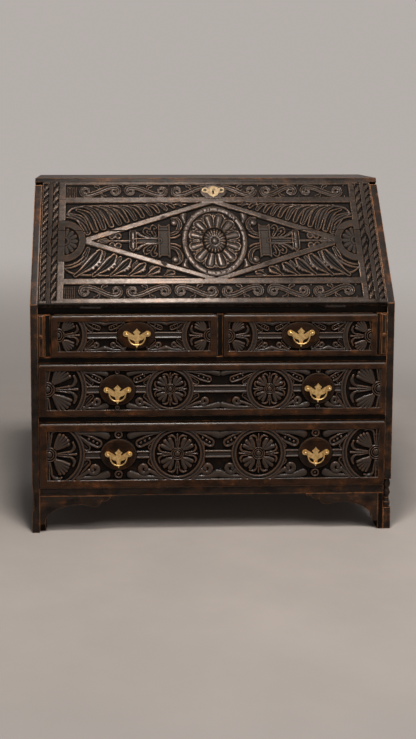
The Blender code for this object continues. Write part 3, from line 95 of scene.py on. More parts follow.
class Finish:  # one procedural material, or the world
    def __init__(self, name, world=None):
        self.material = world or bpy.data.materials.new(name)
        self.material.use_nodes = True
        self.tree = self.material.node_tree
        self.surface = self.tree.nodes["Background" if world else "Principled BSDF"]

    def node(self, kind, settings=None, inputs=None, output=0):
        made = self.tree.nodes.new("ShaderNode" + kind)
        for key, value in (settings or {}).items():
            setattr(made, key, value)
        for key, value in (inputs or {}).items():
            plug(self.tree, made.inputs[key], value)
        return Wire(self.tree, made.outputs[output])

    def noise(self, size, detail, rough, scale=(1, 1, 1)):
        spot = self.node("Mapping", None, {"Vector": self.node("TexCoord", output="Object"), "Scale": scale})
        return self.node("TexNoise", None, {"Vector": spot, "Scale": size, "Detail": detail,
                                            "Roughness": rough})

    def grain(self, axis, across, along, detail, rough):  # noise drawn out along one axis
        scale = [across] * 3
        scale[axis] = along
        return self.noise(1.0, detail, rough, scale)

    def step(self, value, low, high, start=0.0, end=1.0):
        return self.node("MapRange", {"interpolation_type": "SMOOTHSTEP"},
                         {"Value": value, "From Min": low, "From Max": high, "To Min": start, "To Max": end})

    def blend(self, factor, first, second):
        return self.node("Mix", {"data_type": "RGBA"}, {0: factor, 6: first, 7: second}, 2)

    def attribute(self, name):
        return self.node("Attribute", {"attribute_name": name}, None, "Fac")

    def set(self, **sockets):
        for key, value in sockets.items():
            plug(self.tree, self.surface.inputs[key.replace("_", " ")], value)

    def bump(self, height, strength, depth):
        return self.node("Bump", None, {"Height": height, "Strength": strength, "Distance": depth})

    def seen(self):  # 1 for what the camera sees, also in a mirror or through glass
        camera, glossy, through = (self.node("LightPath", output="Is %s Ray" % kind)
                                   for kind in ("Camera", "Glossy", "Transmission"))
        return camera + glossy + through

    def mix(self, factor, other):
        own = Wire(self.tree, self.surface.outputs[0])
        mixed = self.node("MixShader", None, {0: factor, 1: own, 2: other})
        end = next(made for made in self.tree.nodes if made.bl_idname.startswith("ShaderNodeOutput"))
        plug(self.tree, end.inputs["Surface"], mixed)


# Old dark oak. Reads three attributes of its piece: lift is 0 in the carved ground and 1 on the uncut face,
# wear runs from -1 in hollows to 1 on ridges and edges, and shade is how much a form is painted darker
# with its wax dulled: painted shade in the keyhole and the half rosettes' bands, elsewhere a darker tone.
# The darker floor colour of the carved ground and the near black of hollows are dirt and painted shade.
# Polish is the wax on ground, carved and uncut parts, and sheen names the socket that takes it.
darkOakLook = {
    "common": {"dirt": (0.0022, 0.0016, 0.0012), "dry": 0.64, "matt": 0.62, "pits": 0.4,
               "sheen": "Coat_Weight", "coat": (1.0, 0.885, 0.81)},
    "carved": {"floor": (0.0068, 0.0047, 0.0035), "body": (0.0360, 0.0240, 0.0175), "shine": 0.30,
               "flat": (0.0400, 0.0170, 0.0078), "warm": (0.1700, 0.0600, 0.0170), "warmth": 0.80,
               "soot": 0.62, "worn": (0.170, 0.085, 0.040), "wearing": 0.34, "polish": (0.05, 0.85, 0.12)},
    "fall": {"floor": (0.0100, 0.0074, 0.0060), "body": (0.0550, 0.0425, 0.0355), "shine": 0.24,
             "flat": (0.0530, 0.0405, 0.0335), "warm": (0.1300, 0.0640, 0.0310), "warmth": 0.45,
             "soot": 0.42, "worn": (0.230, 0.125, 0.068), "wearing": 0.36, "polish": (0.06, 0.46, 0.46),
             "matt": 0.19, "pits": 0.10, "sheen": "Metallic"},
    # near black for the parts set back under the fall and between the drawers: dirt and painted shade together
    "black": {"floor": (0.0030, 0.0022, 0.0018), "body": (0.0042, 0.0032, 0.0026), "shine": 0.35,
              "flat": (0.0040, 0.0030, 0.0024), "warm": (0.0420, 0.0165, 0.0060), "warmth": 0.40,
              "soot": 0.80, "worn": (0.235, 0.090, 0.030), "wearing": 0.95, "polish": (0.04, 0.08, 0.05)},
    "inside": {"floor": (0.0160, 0.0095, 0.0060), "body": (0.0700, 0.0390, 0.0215), "shine": 0.35,
               "flat": (0.0760, 0.0420, 0.0230), "warm": (0.1700, 0.0800, 0.0340), "warmth": 0.55,
               "soot": 0.45, "worn": (0.210, 0.110, 0.052), "wearing": 0.50, "polish": (0.05, 0.15, 0.15)},
    "side": {"floor": (0.0060, 0.0040, 0.0028), "body": (0.0190, 0.0122, 0.0088), "shine": 0.30,
             "flat": (0.0200, 0.0128, 0.0092), "warm": (0.1600, 0.0600, 0.0200), "warmth": 0.85,
             "soot": 0.82, "worn": (0.300, 0.130, 0.052), "wearing": 1.0, "polish": (0.05, 0.25, 0.25)},
    "brown": {"floor": (0.0060, 0.0040, 0.0028), "body": (0.0250, 0.0155, 0.0108), "shine": 0.30,
              "flat": (0.0270, 0.0166, 0.0114), "warm": (0.1500, 0.0560, 0.0185), "warmth": 0.80,
              "soot": 0.80, "worn": (0.235, 0.095, 0.034), "wearing": 0.95, "polish": (0.05, 0.25, 0.25)},
}


def darkOak(name, axis, kind):
    look = {**darkOakLook["common"], **darkOakLook[kind]}
    dirt = look["dirt"]
    wood = Finish(name)
    grain = wood.grain(axis, 170.0, 8.0, 5.0, 0.6)
    figure = wood.grain(axis, 30.0, 2.6, 4.0, 0.55)
    patches = wood.noise(24.0, 5.0, 0.62)
    specks = wood.noise(95.0, 4.0, 0.65)
    grime = wood.noise(15.0, 4.0, 0.6, (1, 1, 1.6))
    lift = wood.attribute("lift")
    wear = wood.attribute("wear")
    shade = wood.attribute("shade")
    uncut = wood.step(lift, 0.89, 0.94)
    raised = wood.step(lift + patches * 0.2, 0.25, 0.75)
    hollow = wood.step(wear, -0.05, -0.6)
    warm = wood.step(patches * 0.9 + figure * 0.4 + specks * 0.5, 0.88, 1.18, 0.0, look["warmth"])
    sooty = wood.step(grime + specks * 0.25, 0.56, 0.78, 0.0, look["soot"])
    rubbed = wood.step(wear * 0.9 + specks * 0.9 + patches * 0.7, 1.26, 1.70, 0.0, look["wearing"])
    # the carved ground is painted in the darker floor colour: dirt and painted shade in the recesses together
    colour = wood.blend(raised, look["floor"], look["body"])
    colour = wood.blend(uncut, colour, look["flat"])
    colour = wood.blend(warm * (0.2 + 0.8 * uncut), colour, look["warm"])
    colour = wood.blend(sooty * (0.35 + 0.65 * uncut), colour, dirt)
    colour = wood.blend(wood.step(grain, 0.54, 0.74, 0.0, 0.75), colour, dirt)
    # hollows and creases are painted near black: dirt and painted shade together
    colour = wood.blend(hollow * 0.95, colour, dirt)
    colour = wood.blend(rubbed, colour, look["worn"])
    # shade paints a form darker: painted shade in the keyhole and on the half rosettes' bands
    colour = wood.blend(shade, colour, dirt)
    ground, carved, uncutWax = look["polish"]
    clean = (1 - hollow) * (1 - wood.step(shade, 0.0, 0.12))
    wax = (ground + (carved - ground) * raised) * (1 - uncut) + uncutWax * uncut
    wax = wax * clean * wood.step(patches + specks * 0.6, 0.45, 0.95, 1.0, 0.7)
    rough = look["dry"] - (look["dry"] - look["matt"]) * raised * clean + 0.16 * specks
    relief = grain * 0.6 + specks * look["pits"]
    wood.set(Base_Color=colour, Roughness=rough, Specular_IOR_Level=0.08, Coat_Roughness=look["shine"],
             Coat_Tint=look["coat"], Normal=wood.bump(relief, 0.3, 0.0007), **{look["sheen"]: wax})
    return wood.material


plainOakLook = {"pale": (0.185, 0.105, 0.052), "deep": (0.085, 0.044, 0.021), "grime": (0.030, 0.018, 0.011)}


def plainOak(name, axis):
    look = plainOakLook
    wood = Finish(name)
    grain = wood.grain(axis, 190.0, 6.0, 5.0, 0.62)
    figure = wood.grain(axis, 30.0, 2.4, 5.0, 0.6)
    patches = wood.noise(7.0, 5.0, 0.62)
    wear = wood.attribute("wear")
    colour = wood.blend(wood.step(figure, 0.35, 0.68), look["pale"], look["deep"])
    colour = wood.blend(wood.step(grain, 0.5, 0.75, 0.0, 0.7), colour, look["deep"])
    colour = wood.blend(wood.step(patches, 0.5, 0.82, 0.0, 0.8), colour, look["grime"])
    colour = wood.blend(wood.step(wear, 0.3, 1.0, 0.0, 0.35), colour, look["grime"])
    wood.set(Base_Color=colour, Roughness=0.62 + 0.2 * patches,
             Normal=wood.bump(grain * 0.7 + figure * 0.3, 0.4, 0.0009))
    return wood.material


brassLook = {
    "handle": {"bright": (0.86, 0.60, 0.27), "aged": (0.62, 0.39, 0.15),
               "tarnish": (0.060, 0.036, 0.015), "metal": 1.0, "matt": 0.30, "spread": 0.70},
    "plate": {"bright": (0.385, 0.275, 0.150), "aged": (0.27, 0.185, 0.095),
              "tarnish": (0.060, 0.042, 0.024), "metal": 0.45, "matt": 0.50, "spread": 0.78},
}


def agedBrass(name, kind):
    look = brassLook[kind]
    metal = Finish(name)
    cloud = metal.noise(120.0, 5.0, 0.6)
    spots = metal.noise(620.0, 3.0, 0.6)
    grimy = metal.step((cloud * 0.5 + spots * 0.6) * look["spread"], 0.42, 0.60)
    colour = metal.blend(metal.step(cloud, 0.38, 0.62), look["bright"], look["aged"])
    colour = metal.blend(grimy * 0.85, colour, look["tarnish"])
    metal.set(Base_Color=colour, Roughness=look["matt"] + 0.22 * cloud + 0.2 * grimy,
              Metallic=look["metal"] * (1.0 - 0.6 * grimy),
              Normal=metal.bump(cloud * 0.7 + spots * 0.3, 0.25, 0.0006))
    return metal.material


ironLook = {"bare": (0.085, 0.080, 0.076), "rust": (0.060, 0.026, 0.012)}


def forgedIron(name):
    metal = Finish(name)
    cloud = metal.noise(90.0, 6.0, 0.65)
    pits = metal.noise(420.0, 3.0, 0.6)
    rusty = metal.step(cloud * 0.7 + pits * 0.4, 0.52, 0.72)
    colour = metal.blend(rusty, ironLook["bare"], ironLook["rust"])
    metal.set(Base_Color=colour, Roughness=0.45 + 0.35 * rusty, Metallic=0.95 - 0.8 * rusty,
              Normal=metal.bump(cloud * 0.5 + pits * 0.5, 0.4, 0.0007))
    return metal.material


finishes = {
    "carvedAcross": darkOak("carvedOakAcross", 0, "carved"),
    "fallAcross": darkOak("fallOakAcross", 0, "fall"),
    "fallUpright": darkOak("fallOakUpright", 2, "fall"),
    "blackAcross": darkOak("blackOakAcross", 0, "black"),
    "blackUpright": darkOak("blackOakUpright", 2, "black"),
    "brownAcross": darkOak("brownOakAcross", 0, "brown"),
    "brownUpright": darkOak("brownOakUpright", 2, "side"),
    "brownDeep": darkOak("brownOakDeep", 1, "brown"),
    "insideAcross": darkOak("insideOakAcross", 0, "inside"),
    "plainAcross": plainOak("plainOakAcross", 0),
    "plainUpright": plainOak("plainOakUpright", 2),
    "plainDeep": plainOak("plainOakDeep", 1),
    "brass": agedBrass("agedBrass", "handle"),
    "paleBrass": agedBrass("paleBrass", "plate"),
    "iron": forgedIron("forgedIron"),
}
print("finishes made:", len(finishes))


# Cross-sections of a carved stroke, from its middle line (0) to its edge (1), as shares of its height
profiles = {
    "round": ((0, 1), (0.35, 0.93), (0.6, 0.8), (0.8, 0.6), (0.93, 0.34), (1, 0)),
    "flat": ((0, 1), (0.84, 1), (1, 0)),
    "pillow": ((0, 1), (0.4, 0.97), (0.7, 0.84), (0.88, 0.6), (1, 0)),
    "strap": ((0, 0.5), (0.42, 0.5), (0.58, 1), (0.84, 1), (1, 0)),
    "beaded": ((0, 0.60), (0.40, 0.60), (0.54, 0.86), (0.7, 1), (0.86, 0.9), (1, 0)),
    "banded": ((0, 0.70), (0.3, 0.68), (0.42, 0.15), (0.56, 0.15), (0.68, 0.95), (0.9, 1), (1, 0)),
    "leaf": ((0, 0.62), (0.1, 0.5), (0.4, 0.3), (0.62, 0.72), (0.78, 1), (0.9, 0.92), (1, 0)),
    "hollow": ((0, 0.22), (0.35, 0.28), (0.6, 0.8), (0.8, 1), (0.92, 0.85), (1, 0)),
    "frond": ((0, 0.50), (0.10, 0.28), (0.28, 0.24), (0.42, 0.74), (0.54, 0.98), (0.72, 1), (0.88, 0.9),
              (1, 0)),
}
farOff = 9.0  # beyond every form
fluteDip = 0.4


def times(size, *shares):
    return [size * share for share in shares]


def smooth(points):
    path = np.array(points, float)
    for turn in range(3):  # corner cutting, with both ends kept
        left = path[:-1] * 0.75 + path[1:] * 0.25
        right = path[:-1] * 0.25 + path[1:] * 0.75
        middle = np.empty((2 * len(left), 2))
        middle[0::2], middle[1::2] = left, right
        path = np.vstack((path[:1], middle[1:-1], path[-1:]))
    return path


def curve(at, *spots):  # a smooth path through places given in a form's own measures
    return smooth([at(*spot) for spot in spots])


def coil(centre, startRadius, endRadius, startTurn, endTurn, steps):
    turns = np.radians(np.linspace(startTurn, endTurn, steps))
    radii = np.linspace(startRadius, endRadius, steps)
    return np.column_stack((centre[0] + radii * np.cos(turns), centre[1] + radii * np.sin(turns)))


def fromLine(gx, gy, start, end):  # the share along a straight line, the distance from it and to its side
    run = end - start
    length = max(float(run @ run), 1e-12)
    right, up = gx - start[0], gy - start[1]
    along = np.clip((right * run[0] + up * run[1]) / length, 0, 1)
    away = np.hypot(right - along * run[0], up - along * run[1])
    return along, away, (up * run[0] - right * run[1]) / math.sqrt(length)


class Carving:  # heights over a grid of places on a carved face, 0 on the uncut face
    def __init__(self, xs, ys):
        self.xs = xs
        self.ys = ys
        self.height = np.zeros((len(ys), len(xs)))
        self.shade = np.zeros((len(ys), len(xs)))

    def spot(self, low, high):
        cols = slice(*np.searchsorted(self.xs, (low[0], high[0])))
        rows = slice(*np.searchsorted(self.ys, (low[1], high[1])))
        return (rows, cols), *np.meshgrid(self.xs[cols], self.ys[rows])

    def around(self, centre, radii):  # the places near an oval, as shares of its radii
        where, gx, gy = self.spot((centre[0] - radii[0], centre[1] - radii[1]),
                                  (centre[0] + radii[0], centre[1] + radii[1]))
        return where, (gx - centre[0]) / radii[0], (gy - centre[1]) / radii[1]

    def sink(self, x0, x1, y0, y1, floor, wall=0.0025):
        where, gx, gy = self.spot((x0, y0), (x1, y1))
        inset = np.minimum(np.minimum(gx - x0, x1 - gx), np.minimum(gy - y0, y1 - gy))
        self.height[where] = np.minimum(self.height[where], floor * np.clip(inset / wall, 0, 1))

    def lay(self, where, heights, covered, over=False):
        raised = heights if over else np.maximum(self.height[where], heights)
        self.height[where] = np.where(covered, raised, self.height[where])

    def stroke(self, path, widths, top, floor, profile="round", flutes=0, over=False):
        path = np.asarray(path, float)
        spread = np.interp(np.linspace(0, 1, len(path)), np.linspace(0, 1, len(widths)), widths)
        where, gx, gy = self.spot(path.min(0) - spread.max(), path.max(0) + spread.max())
        if not gx.size:
            return
        nearest = np.full(gx.shape, farOff)
        aside = np.zeros(gx.shape)
        for index in range(len(path) - 1):
            along, away, across = fromLine(gx, gy, path[index], path[index + 1])
            width = spread[index] + (spread[index + 1] - spread[index]) * along
            aside = np.where(away / width < nearest, across / width, aside)
            nearest = np.minimum(nearest, away / width)
        rise = np.interp(nearest, *np.array(profiles[profile]).T)
        if flutes:  # valleys that run along the stroke
            rise = rise - fluteDip * (0.5 - 0.5 * np.cos(math.pi * flutes * (aside + 1))) * rise
        self.lay(where, floor + (top - floor) * rise, nearest < 1, over)

    def slab(self, corners, section):  # a flat form with straight sides; section runs in from its edge
        corners = np.asarray(corners, float)
        where, gx, gy = self.spot(corners.min(0), corners.max(0))
        inside = np.zeros(gx.shape, bool)
        nearest = np.full(gx.shape, farOff)
        for start, end in zip(corners, np.roll(corners, -1, 0)):
            run = end - start
            crossed = (start[1] > gy) != (end[1] > gy)
            inside ^= crossed & (gx < start[0] + run[0] * (gy - start[1]) / (run[1] or 1e-12))
            nearest = np.minimum(nearest, fromLine(gx, gy, start, end)[1])
        self.lay(where, np.interp(nearest, *np.array(section).T), inside)

    def turned(self, centre, radii, section, cut=False):
        where, right, up = self.around(centre, radii)
        share = np.hypot(right, up)
        self.lay(where, np.interp(share, *np.array(section).T), share < 1, cut)

    def gadrooned(self, centre, radii, lobes, top, floor, inner, dip, scallop):
        where, right, up = self.around(centre, radii)
        share = np.hypot(right, up)
        lobe = np.abs(np.cos(lobes / 2 * np.arctan2(up, right)))
        edge = 1 - scallop * (1 - lobe)
        rise = np.interp(share / edge, (0, inner, inner + 0.08, 0.75, 0.93, 1), (0.55, 0.55, 0.8, 1, 0.8, 0))
        fluted = rise - dip * (1 - lobe) * np.interp(share, (inner, inner + 0.2, 1), (0, 0.7, 1))
        self.lay(where, floor + (top - floor) * np.clip(fluted, 0, 1), (share < edge) & (share > inner))

    def darken(self, centre, radii, shade):
        where, right, up = self.around(centre, radii)
        self.shade[where] = np.where(np.hypot(right, up) < 1, shade, self.shade[where])

    def pit(self, centre, radius, depth):
        where, right, up = self.around(centre, (radius, radius))
        self.height[where] -= depth * np.clip(1.6 - 1.6 * np.hypot(right, up), 0, 1)

    def groove(self, start, end, width, depth):
        start, end = np.array(start), np.array(end)
        where, gx, gy = self.spot(np.minimum(start, end) - width, np.maximum(start, end) + width)
        self.height[where] -= depth * np.clip(1 - fromLine(gx, gy, start, end)[1] / width, 0, 1)

    def roll(self, sides, radius):  # rounds the outer edges over
        gaps = {"left": self.xs[None, :] - self.xs[0], "right": self.xs[-1] - self.xs[None, :],
                "low": self.ys[:, None] - self.ys[0], "high": self.ys[-1] - self.ys[:, None]}
        for side in sides:
            short = np.clip(radius - gaps[side], 0, radius)
            self.height = self.height - (radius - np.sqrt(np.maximum(radius ** 2 - short ** 2, 0)))

    def weather(self, swell, chip):  # the unevenness of hand work
        for pitch, depth in ((0.028, swell), (0.0055, chip)):
            cols = max(int((self.xs[-1] - self.xs[0]) / pitch), 2) + 2
            rows = max(int((self.ys[-1] - self.ys[0]) / pitch), 2) + 2
            lumps = dice.standard_normal((rows, cols))
            u = np.clip((self.xs - self.xs[0]) / pitch, 0, cols - 1.001)
            v = np.clip((self.ys - self.ys[0]) / pitch, 0, rows - 1.001)
            i, j = v.astype(int), u.astype(int)
            fy, fx = (v - i)[:, None], (u - j)[None, :]
            fy, fx = fy * fy * (3 - 2 * fy), fx * fx * (3 - 2 * fx)
            low = lumps[np.ix_(i, j)] * (1 - fx) + lumps[np.ix_(i, j + 1)] * fx
            high = lumps[np.ix_(i + 1, j)] * (1 - fx) + lumps[np.ix_(i + 1, j + 1)] * fx
            self.height += depth * np.clip(low * (1 - fy) + high * fy - 0.4, -3, 1)

    def blurred(self, rounds):
        field = np.pad(self.height, rounds, mode="edge")
        for turn in range(rounds):
            field = 0.25 * field[:-2] + 0.5 * field[1:-1] + 0.25 * field[2:]
            field = 0.25 * field[:, :-2] + 0.5 * field[:, 1:-1] + 0.25 * field[:, 2:]
        return field

    def wear(self):
        near = (self.height - self.blurred(3)) / 0.0007
        wide = (self.height - self.blurred(10)) / 0.0022
        return np.clip(0.5 * near + 0.6 * wide, -1, 1)


def spaced(low, high, pitch, rollLow, rollHigh):  # grid lines, closer where an edge rolls over
    steps = 1 - np.cos(np.linspace(0, math.pi / 2, 6))
    count = max(int((high - low - rollLow - rollHigh) / pitch), 2) + 1
    inner = np.linspace(low + rollLow, high - rollHigh, count)
    head = low + rollLow * steps[:-1] if rollLow else []
    tail = (high - rollHigh * steps[:-1])[::-1] if rollHigh else []
    return np.concatenate((head, inner, tail))


def pieceName(node, ending):
    return "".join(word.title() for word in node.split("_")) + ending


def addObject(name, mesh, node, slot, *materials):
    if mesh.has_custom_normals:  # those of the CAD mesh no longer fit
        mesh.attributes.remove(mesh.attributes["custom_normal"])
    piece = bpy.data.objects.new(name, mesh)
    bpy.context.scene.collection.objects.link(piece)
    for material in materials:
        mesh.materials.append(finishes[material])
    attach(piece, bodyOf[node])
    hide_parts(node)


def newMesh(name, bm):
    mesh = bpy.data.meshes.new(name)
    bm.to_mesh(mesh)
    bm.free()
    return mesh


def setAttribute(mesh, name, values, domain="POINT"):
    layer = mesh.attributes.new(name, "FLOAT", domain)
    layer.data.foreach_set("value", np.asarray(values, np.float32))


def mergedCopy(node):
    bm = bmesh.new()
    bm.from_mesh(nodes[node].data)
    bmesh.ops.remove_doubles(bm, verts=bm.verts, dist=1e-5)
    bmesh.ops.dissolve_limit(bm, angle_limit=math.radians(0.6), verts=bm.verts, edges=bm.edges)
    return bm


def boardBehind(node, place, depth, material):  # the CAD board without its carved face
    bm = mergedCopy(node)
    out = place.to_3x3() @ Vector((0, 0, 1))
    bmesh.ops.bisect_plane(bm, geom=bm.verts[:] + bm.edges[:] + bm.faces[:], clear_outer=True,
                           plane_co=place @ Vector((0, 0, -depth)), plane_no=out)
    bmesh.ops.holes_fill(bm, edges=[edge for edge in bm.edges if edge.is_boundary])
    for face in bm.faces:
        face.material_index = material
    return newMesh(node + "Back", bm)


def carvedBoard(node, carving, place, depth, ground, *materials):
    # the carved face as a grid closed to a slab, and the CAD board behind it
    cols, rows = len(carving.xs), len(carving.ys)
    bm = bmesh.new()
    bmesh.ops.create_grid(bm, x_segments=cols - 1, y_segments=rows - 1, size=0.5)
    rim = [edge for edge in bm.edges if edge.is_boundary]
    walls = bmesh.ops.extrude_edge_only(bm, edges=rim)
    skirt = [part for part in walls["geom"] if isinstance(part, bmesh.types.BMEdge)]
    bmesh.ops.edgeloop_fill(bm, edges=skirt)
    for vert in {vert for edge in skirt for vert in edge.verts}:
        vert.co.z = -1
    bmesh.ops.recalc_face_normals(bm, faces=bm.faces)
    for face in bm.faces:
        face.smooth = True
    count, carved = len(bm.verts), len(bm.faces)
    behind = boardBehind(node, place, depth, len(materials) - 1)
    bm.from_mesh(behind)
    bpy.data.meshes.remove(behind)
    name = pieceName(node, "Carved")
    mesh = newMesh(name, bm)

    spots = np.empty(len(mesh.vertices) * 3)
    mesh.vertices.foreach_get("co", spots)
    spots = spots.reshape(-1, 3)
    unit = spots[:count]
    col = np.rint((unit[:, 0] + 0.5) * (cols - 1)).astype(int)
    row = np.rint((unit[:, 1] + 0.5) * (rows - 1)).astype(int)
    face = unit[:, 2] > -0.5
    height = carving.height[row, col]
    local = np.column_stack((carving.xs[col], carving.ys[row], np.where(face, height, -depth),
                             np.ones(count)))
    spots[:count] = (local @ np.array(place).T)[:, :3]
    mesh.vertices.foreach_set("co", spots.ravel())
    behindCount = len(spots) - count
    lift = np.clip(1 - height / ground, 0, 1)
    wear = np.where(face, carving.wear()[row, col], 0)
    setAttribute(mesh, "lift", np.append(lift, np.ones(behindCount)))
    setAttribute(mesh, "wear", np.append(wear, np.zeros(behindCount)))
    setAttribute(mesh, "shade", np.append(carving.shade[row, col], np.zeros(behindCount)))
    mesh.set_sharp_from_angle(angle=math.radians(62))
    mesh.polygons.foreach_set("use_smooth", [index < carved for index in range(len(mesh.polygons))])
    mesh.update()
    addObject(name, mesh, node, "dark_oak", *materials)
    print(name, "carved:", cols, "by", rows)


# Drawer fronts. Places are metres across (X) and up (Z) the front of the carcase.
drawerLook = {
    "edge": 0.005, "brow": 0.0085, "ground": -0.0084, "flush": -0.0004, "seat": 0.0115, "ringWidth": 0.0165,
    "swell": 0.00016, "chip": 0.00009, "grime": 0.38,
}


def ring(carving, centre, outer, top, floor, inner):
    section = [(0, -farOff), (inner - 0.001, -farOff)]
    for share, rise in ((0, 0), (0.07, 0.8), (0.16, 1), (0.26, 0.9), (0.40, 0.70), (0.60, 0.68), (0.72, 0.9),
                        (0.84, 1), (0.94, 0.85), (1, 0)):
        section.append((inner + (1 - inner) * share, floor + (top - floor) * rise))
    carving.turned(centre, (outer, outer), section)


def polar(centre, angle, along):
    turn = math.radians(angle)
    return (centre[0] + along * math.cos(turn), centre[1] + along * math.sin(turn))


def rosette(carving, centre, reach, hub, top, floor, fingers):
    # four petals of several fingers each, with stems between them that open into trefoils along the ring
    def at(angle, share):
        return polar(centre, angle, reach * share)

    for angle in (0, 90, 180, 270):
        for side in (-1, 1):
            curl = curve(at, (angle + side * 5, 0.62), (angle + side * 9, 0.80), (angle + side * 17, 0.90),
                         (angle + side * 27, 0.90))
            carving.stroke(curl, times(reach, 0.035, 0.060, 0.072, 0.045), top - 0.0010, floor)
        stem = [at(angle, 0.66), at(angle, 0.90)]
        carving.stroke(stem, times(reach, 0.035, 0.062, 0.050), top - 0.0004, floor)
        for turn in (-8, 0, 8):
            carving.stroke([polar(centre, angle + turn * 0.9, hub * 0.9), at(angle + turn, 0.66)],
                           times(reach, 0.024, 0.036, 0.040), top - 0.0002, floor)
    for corner in (45, 135, 225, 315):
        angle = corner + dice.uniform(-2.5, 2.5)
        for finger in np.linspace(-1, 1, fingers):
            tip = reach * (0.94 - 0.06 * abs(finger)) * dice.uniform(0.97, 1.02)
            spine = smooth([polar(centre, angle + finger * 4, hub * 0.85), at(angle + finger * 14, 0.48),
                            polar(centre, angle + finger * 17, tip - reach * 0.12)])
            carving.stroke(spine, times(reach * 3 / fingers, 0.050, 0.100, 0.125, 0.110),
                           top + 0.0005 * abs(finger), floor)
    section = [(share, floor + (top - floor) * rise) for share, rise in (
        (0, 1), (0.2, 0.97), (0.36, 0.72), (0.41, 0.15), (0.47, 0.15), (0.53, 0.8), (0.62, 0.84),
        (0.68, 0.2), (0.74, 0.2), (0.80, 0.9), (0.92, 0.8), (1, 0))]
    carving.turned(centre, (hub, hub), section, cut=True)


def spray(carving, knot, toward, down, length, depth, top, floor):
    # three club-ended lobes that fan out from a knot by the ring; the lower ones hold a curl
    def at(u, v):
        return (knot[0] + toward * u * length, knot[1] + down * v * depth)

    thick = min(length * 0.21, depth * 0.20)
    low = curve(at, (0.02, 0.14), (0.06, 0.44), (0.18, 0.68), (0.30, 0.84))
    carving.stroke(low, times(thick, 0.5, 0.75, 1.05, 0.95), top - 0.0004, floor, "leaf")
    if down > 0:
        first, last = (200, 560) if toward > 0 else (-20, -380)
        curl = coil(at(0.52, 0.52), thick * 1.25, thick * 0.45, first, last, 30)
        stem = smooth([at(0.03, 0.12), at(0.2, 0.3), curl[0]])
        carving.stroke(np.vstack((stem, curl[1:])), times(thick, 0.5, 0.6, 0.62, 0.5), top, floor)
    else:
        broad = curve(at, (0.03, 0.14), (0.26, 0.32), (0.48, 0.52), (0.64, 0.64))
        carving.stroke(broad, times(thick, 0.5, 0.9, 1.25, 1.2), top, floor, "hollow")
        for u, v in ((0.36, 0.40), (0.50, 0.52), (0.62, 0.62)):
            carving.turned(at(u, v), times(thick, 0.42, 0.42), ((0, top), (0.6, top - 0.0008), (1, floor)))
    edge = curve(at, (0, 0.11), (0.45, 0.10), (0.76, 0.17), (0.92, 0.25))
    carving.stroke(edge, times(thick, 0.5, 0.62, 0.82, 1.0), top, floor)
    back = curve(at, (0.02, 0.1), (-0.10, 0.34), (-0.06, 0.60))
    carving.stroke(back, times(thick, 0.4, 0.55, 0.6), top - 0.0006, floor)
    carving.turned(at(0.02, 0.10), times(thick, 0.8, 0.8),
                   ((0, top), (0.5, top), (0.8, top - 0.0014), (1, floor)))


# Each drawer's grid pitch, panel (left, right, low, high), strip (height, half width), half roundels at the
# ends and whole roundels (middle, radius), their hubs, medallions (middle, half sizes) and beads.
drawerPlans = {
    "short_left_drawer": {
        "pitch": 0.00098, "panel": (-0.4555, -0.008, 0.5475, 0.6365), "strip": (0.5945, 0.0105),
        "ends": ((-0.4555, 0.5955, 0.087), (-0.008, 0.593, 0.086)), "endHub": 0.0225, "bead": 0.004,
        "medallions": ((-0.2265, 0.5955, 0.0565, 0.0405),), "roundels": (),
    },
    "short_right_drawer": {
        "pitch": 0.00098, "panel": (0.0425, 0.4665, 0.5455, 0.6335), "strip": (0.591, 0.0105),
        "ends": ((0.0425, 0.5905, 0.088), (0.4665, 0.588, 0.086)), "endHub": 0.0225, "bead": 0.004,
        "medallions": ((0.2565, 0.592, 0.0565, 0.0405),), "roundels": (),
    },
    "upper_drawer": {
        "pitch": 0.00132, "panel": (-0.4905, 0.4965, 0.3725, 0.4905), "strip": (0.4335, 0.0125),
        "ends": ((-0.4875, 0.4345, 0.117), (0.4935, 0.430, 0.116)), "endHub": 0.0245, "bead": 0.0075,
        "medallions": ((-0.2820, 0.4325, 0.0540, 0.0470), (0.3100, 0.4325, 0.0500, 0.0470)),
        "roundels": ((-0.127, 0.4335, 0.071), (0.167, 0.432, 0.070)), "roundelHub": 0.0175,
    },
    "lower_drawer": {
        "pitch": 0.00146, "panel": (-0.4895, 0.4945, 0.1605, 0.3090), "strip": (0.2370, 0.0125),
        "ends": ((-0.4835, 0.239, 0.106), (0.4875, 0.237, 0.103)), "endHub": 0.0240, "bead": 0.0135,
        "medallions": ((-0.2790, 0.2380, 0.0540, 0.0475), (0.3050, 0.2375, 0.0510, 0.0480)),
        "roundels": ((-0.105, 0.238, 0.083), (0.136, 0.237, 0.0815)), "roundelHub": 0.0205,
    },
}


def crossing(roundel, panel):  # how far from its middle a ring meets the panel's edge
    x, z, outer = roundel
    return math.sqrt(max(outer ** 2 - min(panel[3] - z, z - panel[2]) ** 2, 0))


def drawerSprays(carving, plan, top, floor):
    panel = plan["panel"]
    z, half = plan["strip"]
    left, right = plan["ends"]
    meds = [(x - wide * 0.55, x + wide * 0.55) for x, y, wide, tall in plan["medallions"]]
    spans = [(left[0] + crossing(left, panel), 1, meds[0][0]),
             (right[0] - crossing(right, panel), -1, meds[-1][1])]  # a knot, its way and its limit
    if plan["roundels"]:
        first, second = plan["roundels"]
        near, far = crossing(first, panel), crossing(second, panel)
        gap = (first[0] + near + second[0] - far) / 2
        spans += [(first[0] - near, -1, meds[0][1]), (first[0] + near, 1, gap),
                  (second[0] - far, -1, gap), (second[0] + far, 1, meds[1][0])]
    else:  # on the short drawers a second spray comes back from the medallion
        spans = [(knot, toward, (knot + limit) / 2) for knot, toward, limit in spans]
        spans += [(2 * limit - knot, -toward, limit) for knot, toward, limit in spans]
    for knot, toward, limit in spans:
        length = abs(limit - knot) * 0.98
        for edge, down in ((panel[3], -1), (panel[2], 1)):
            depth = abs(edge - z) - half
            spray(carving, (knot + toward * 0.004, edge), toward, down, length, depth, top, floor)


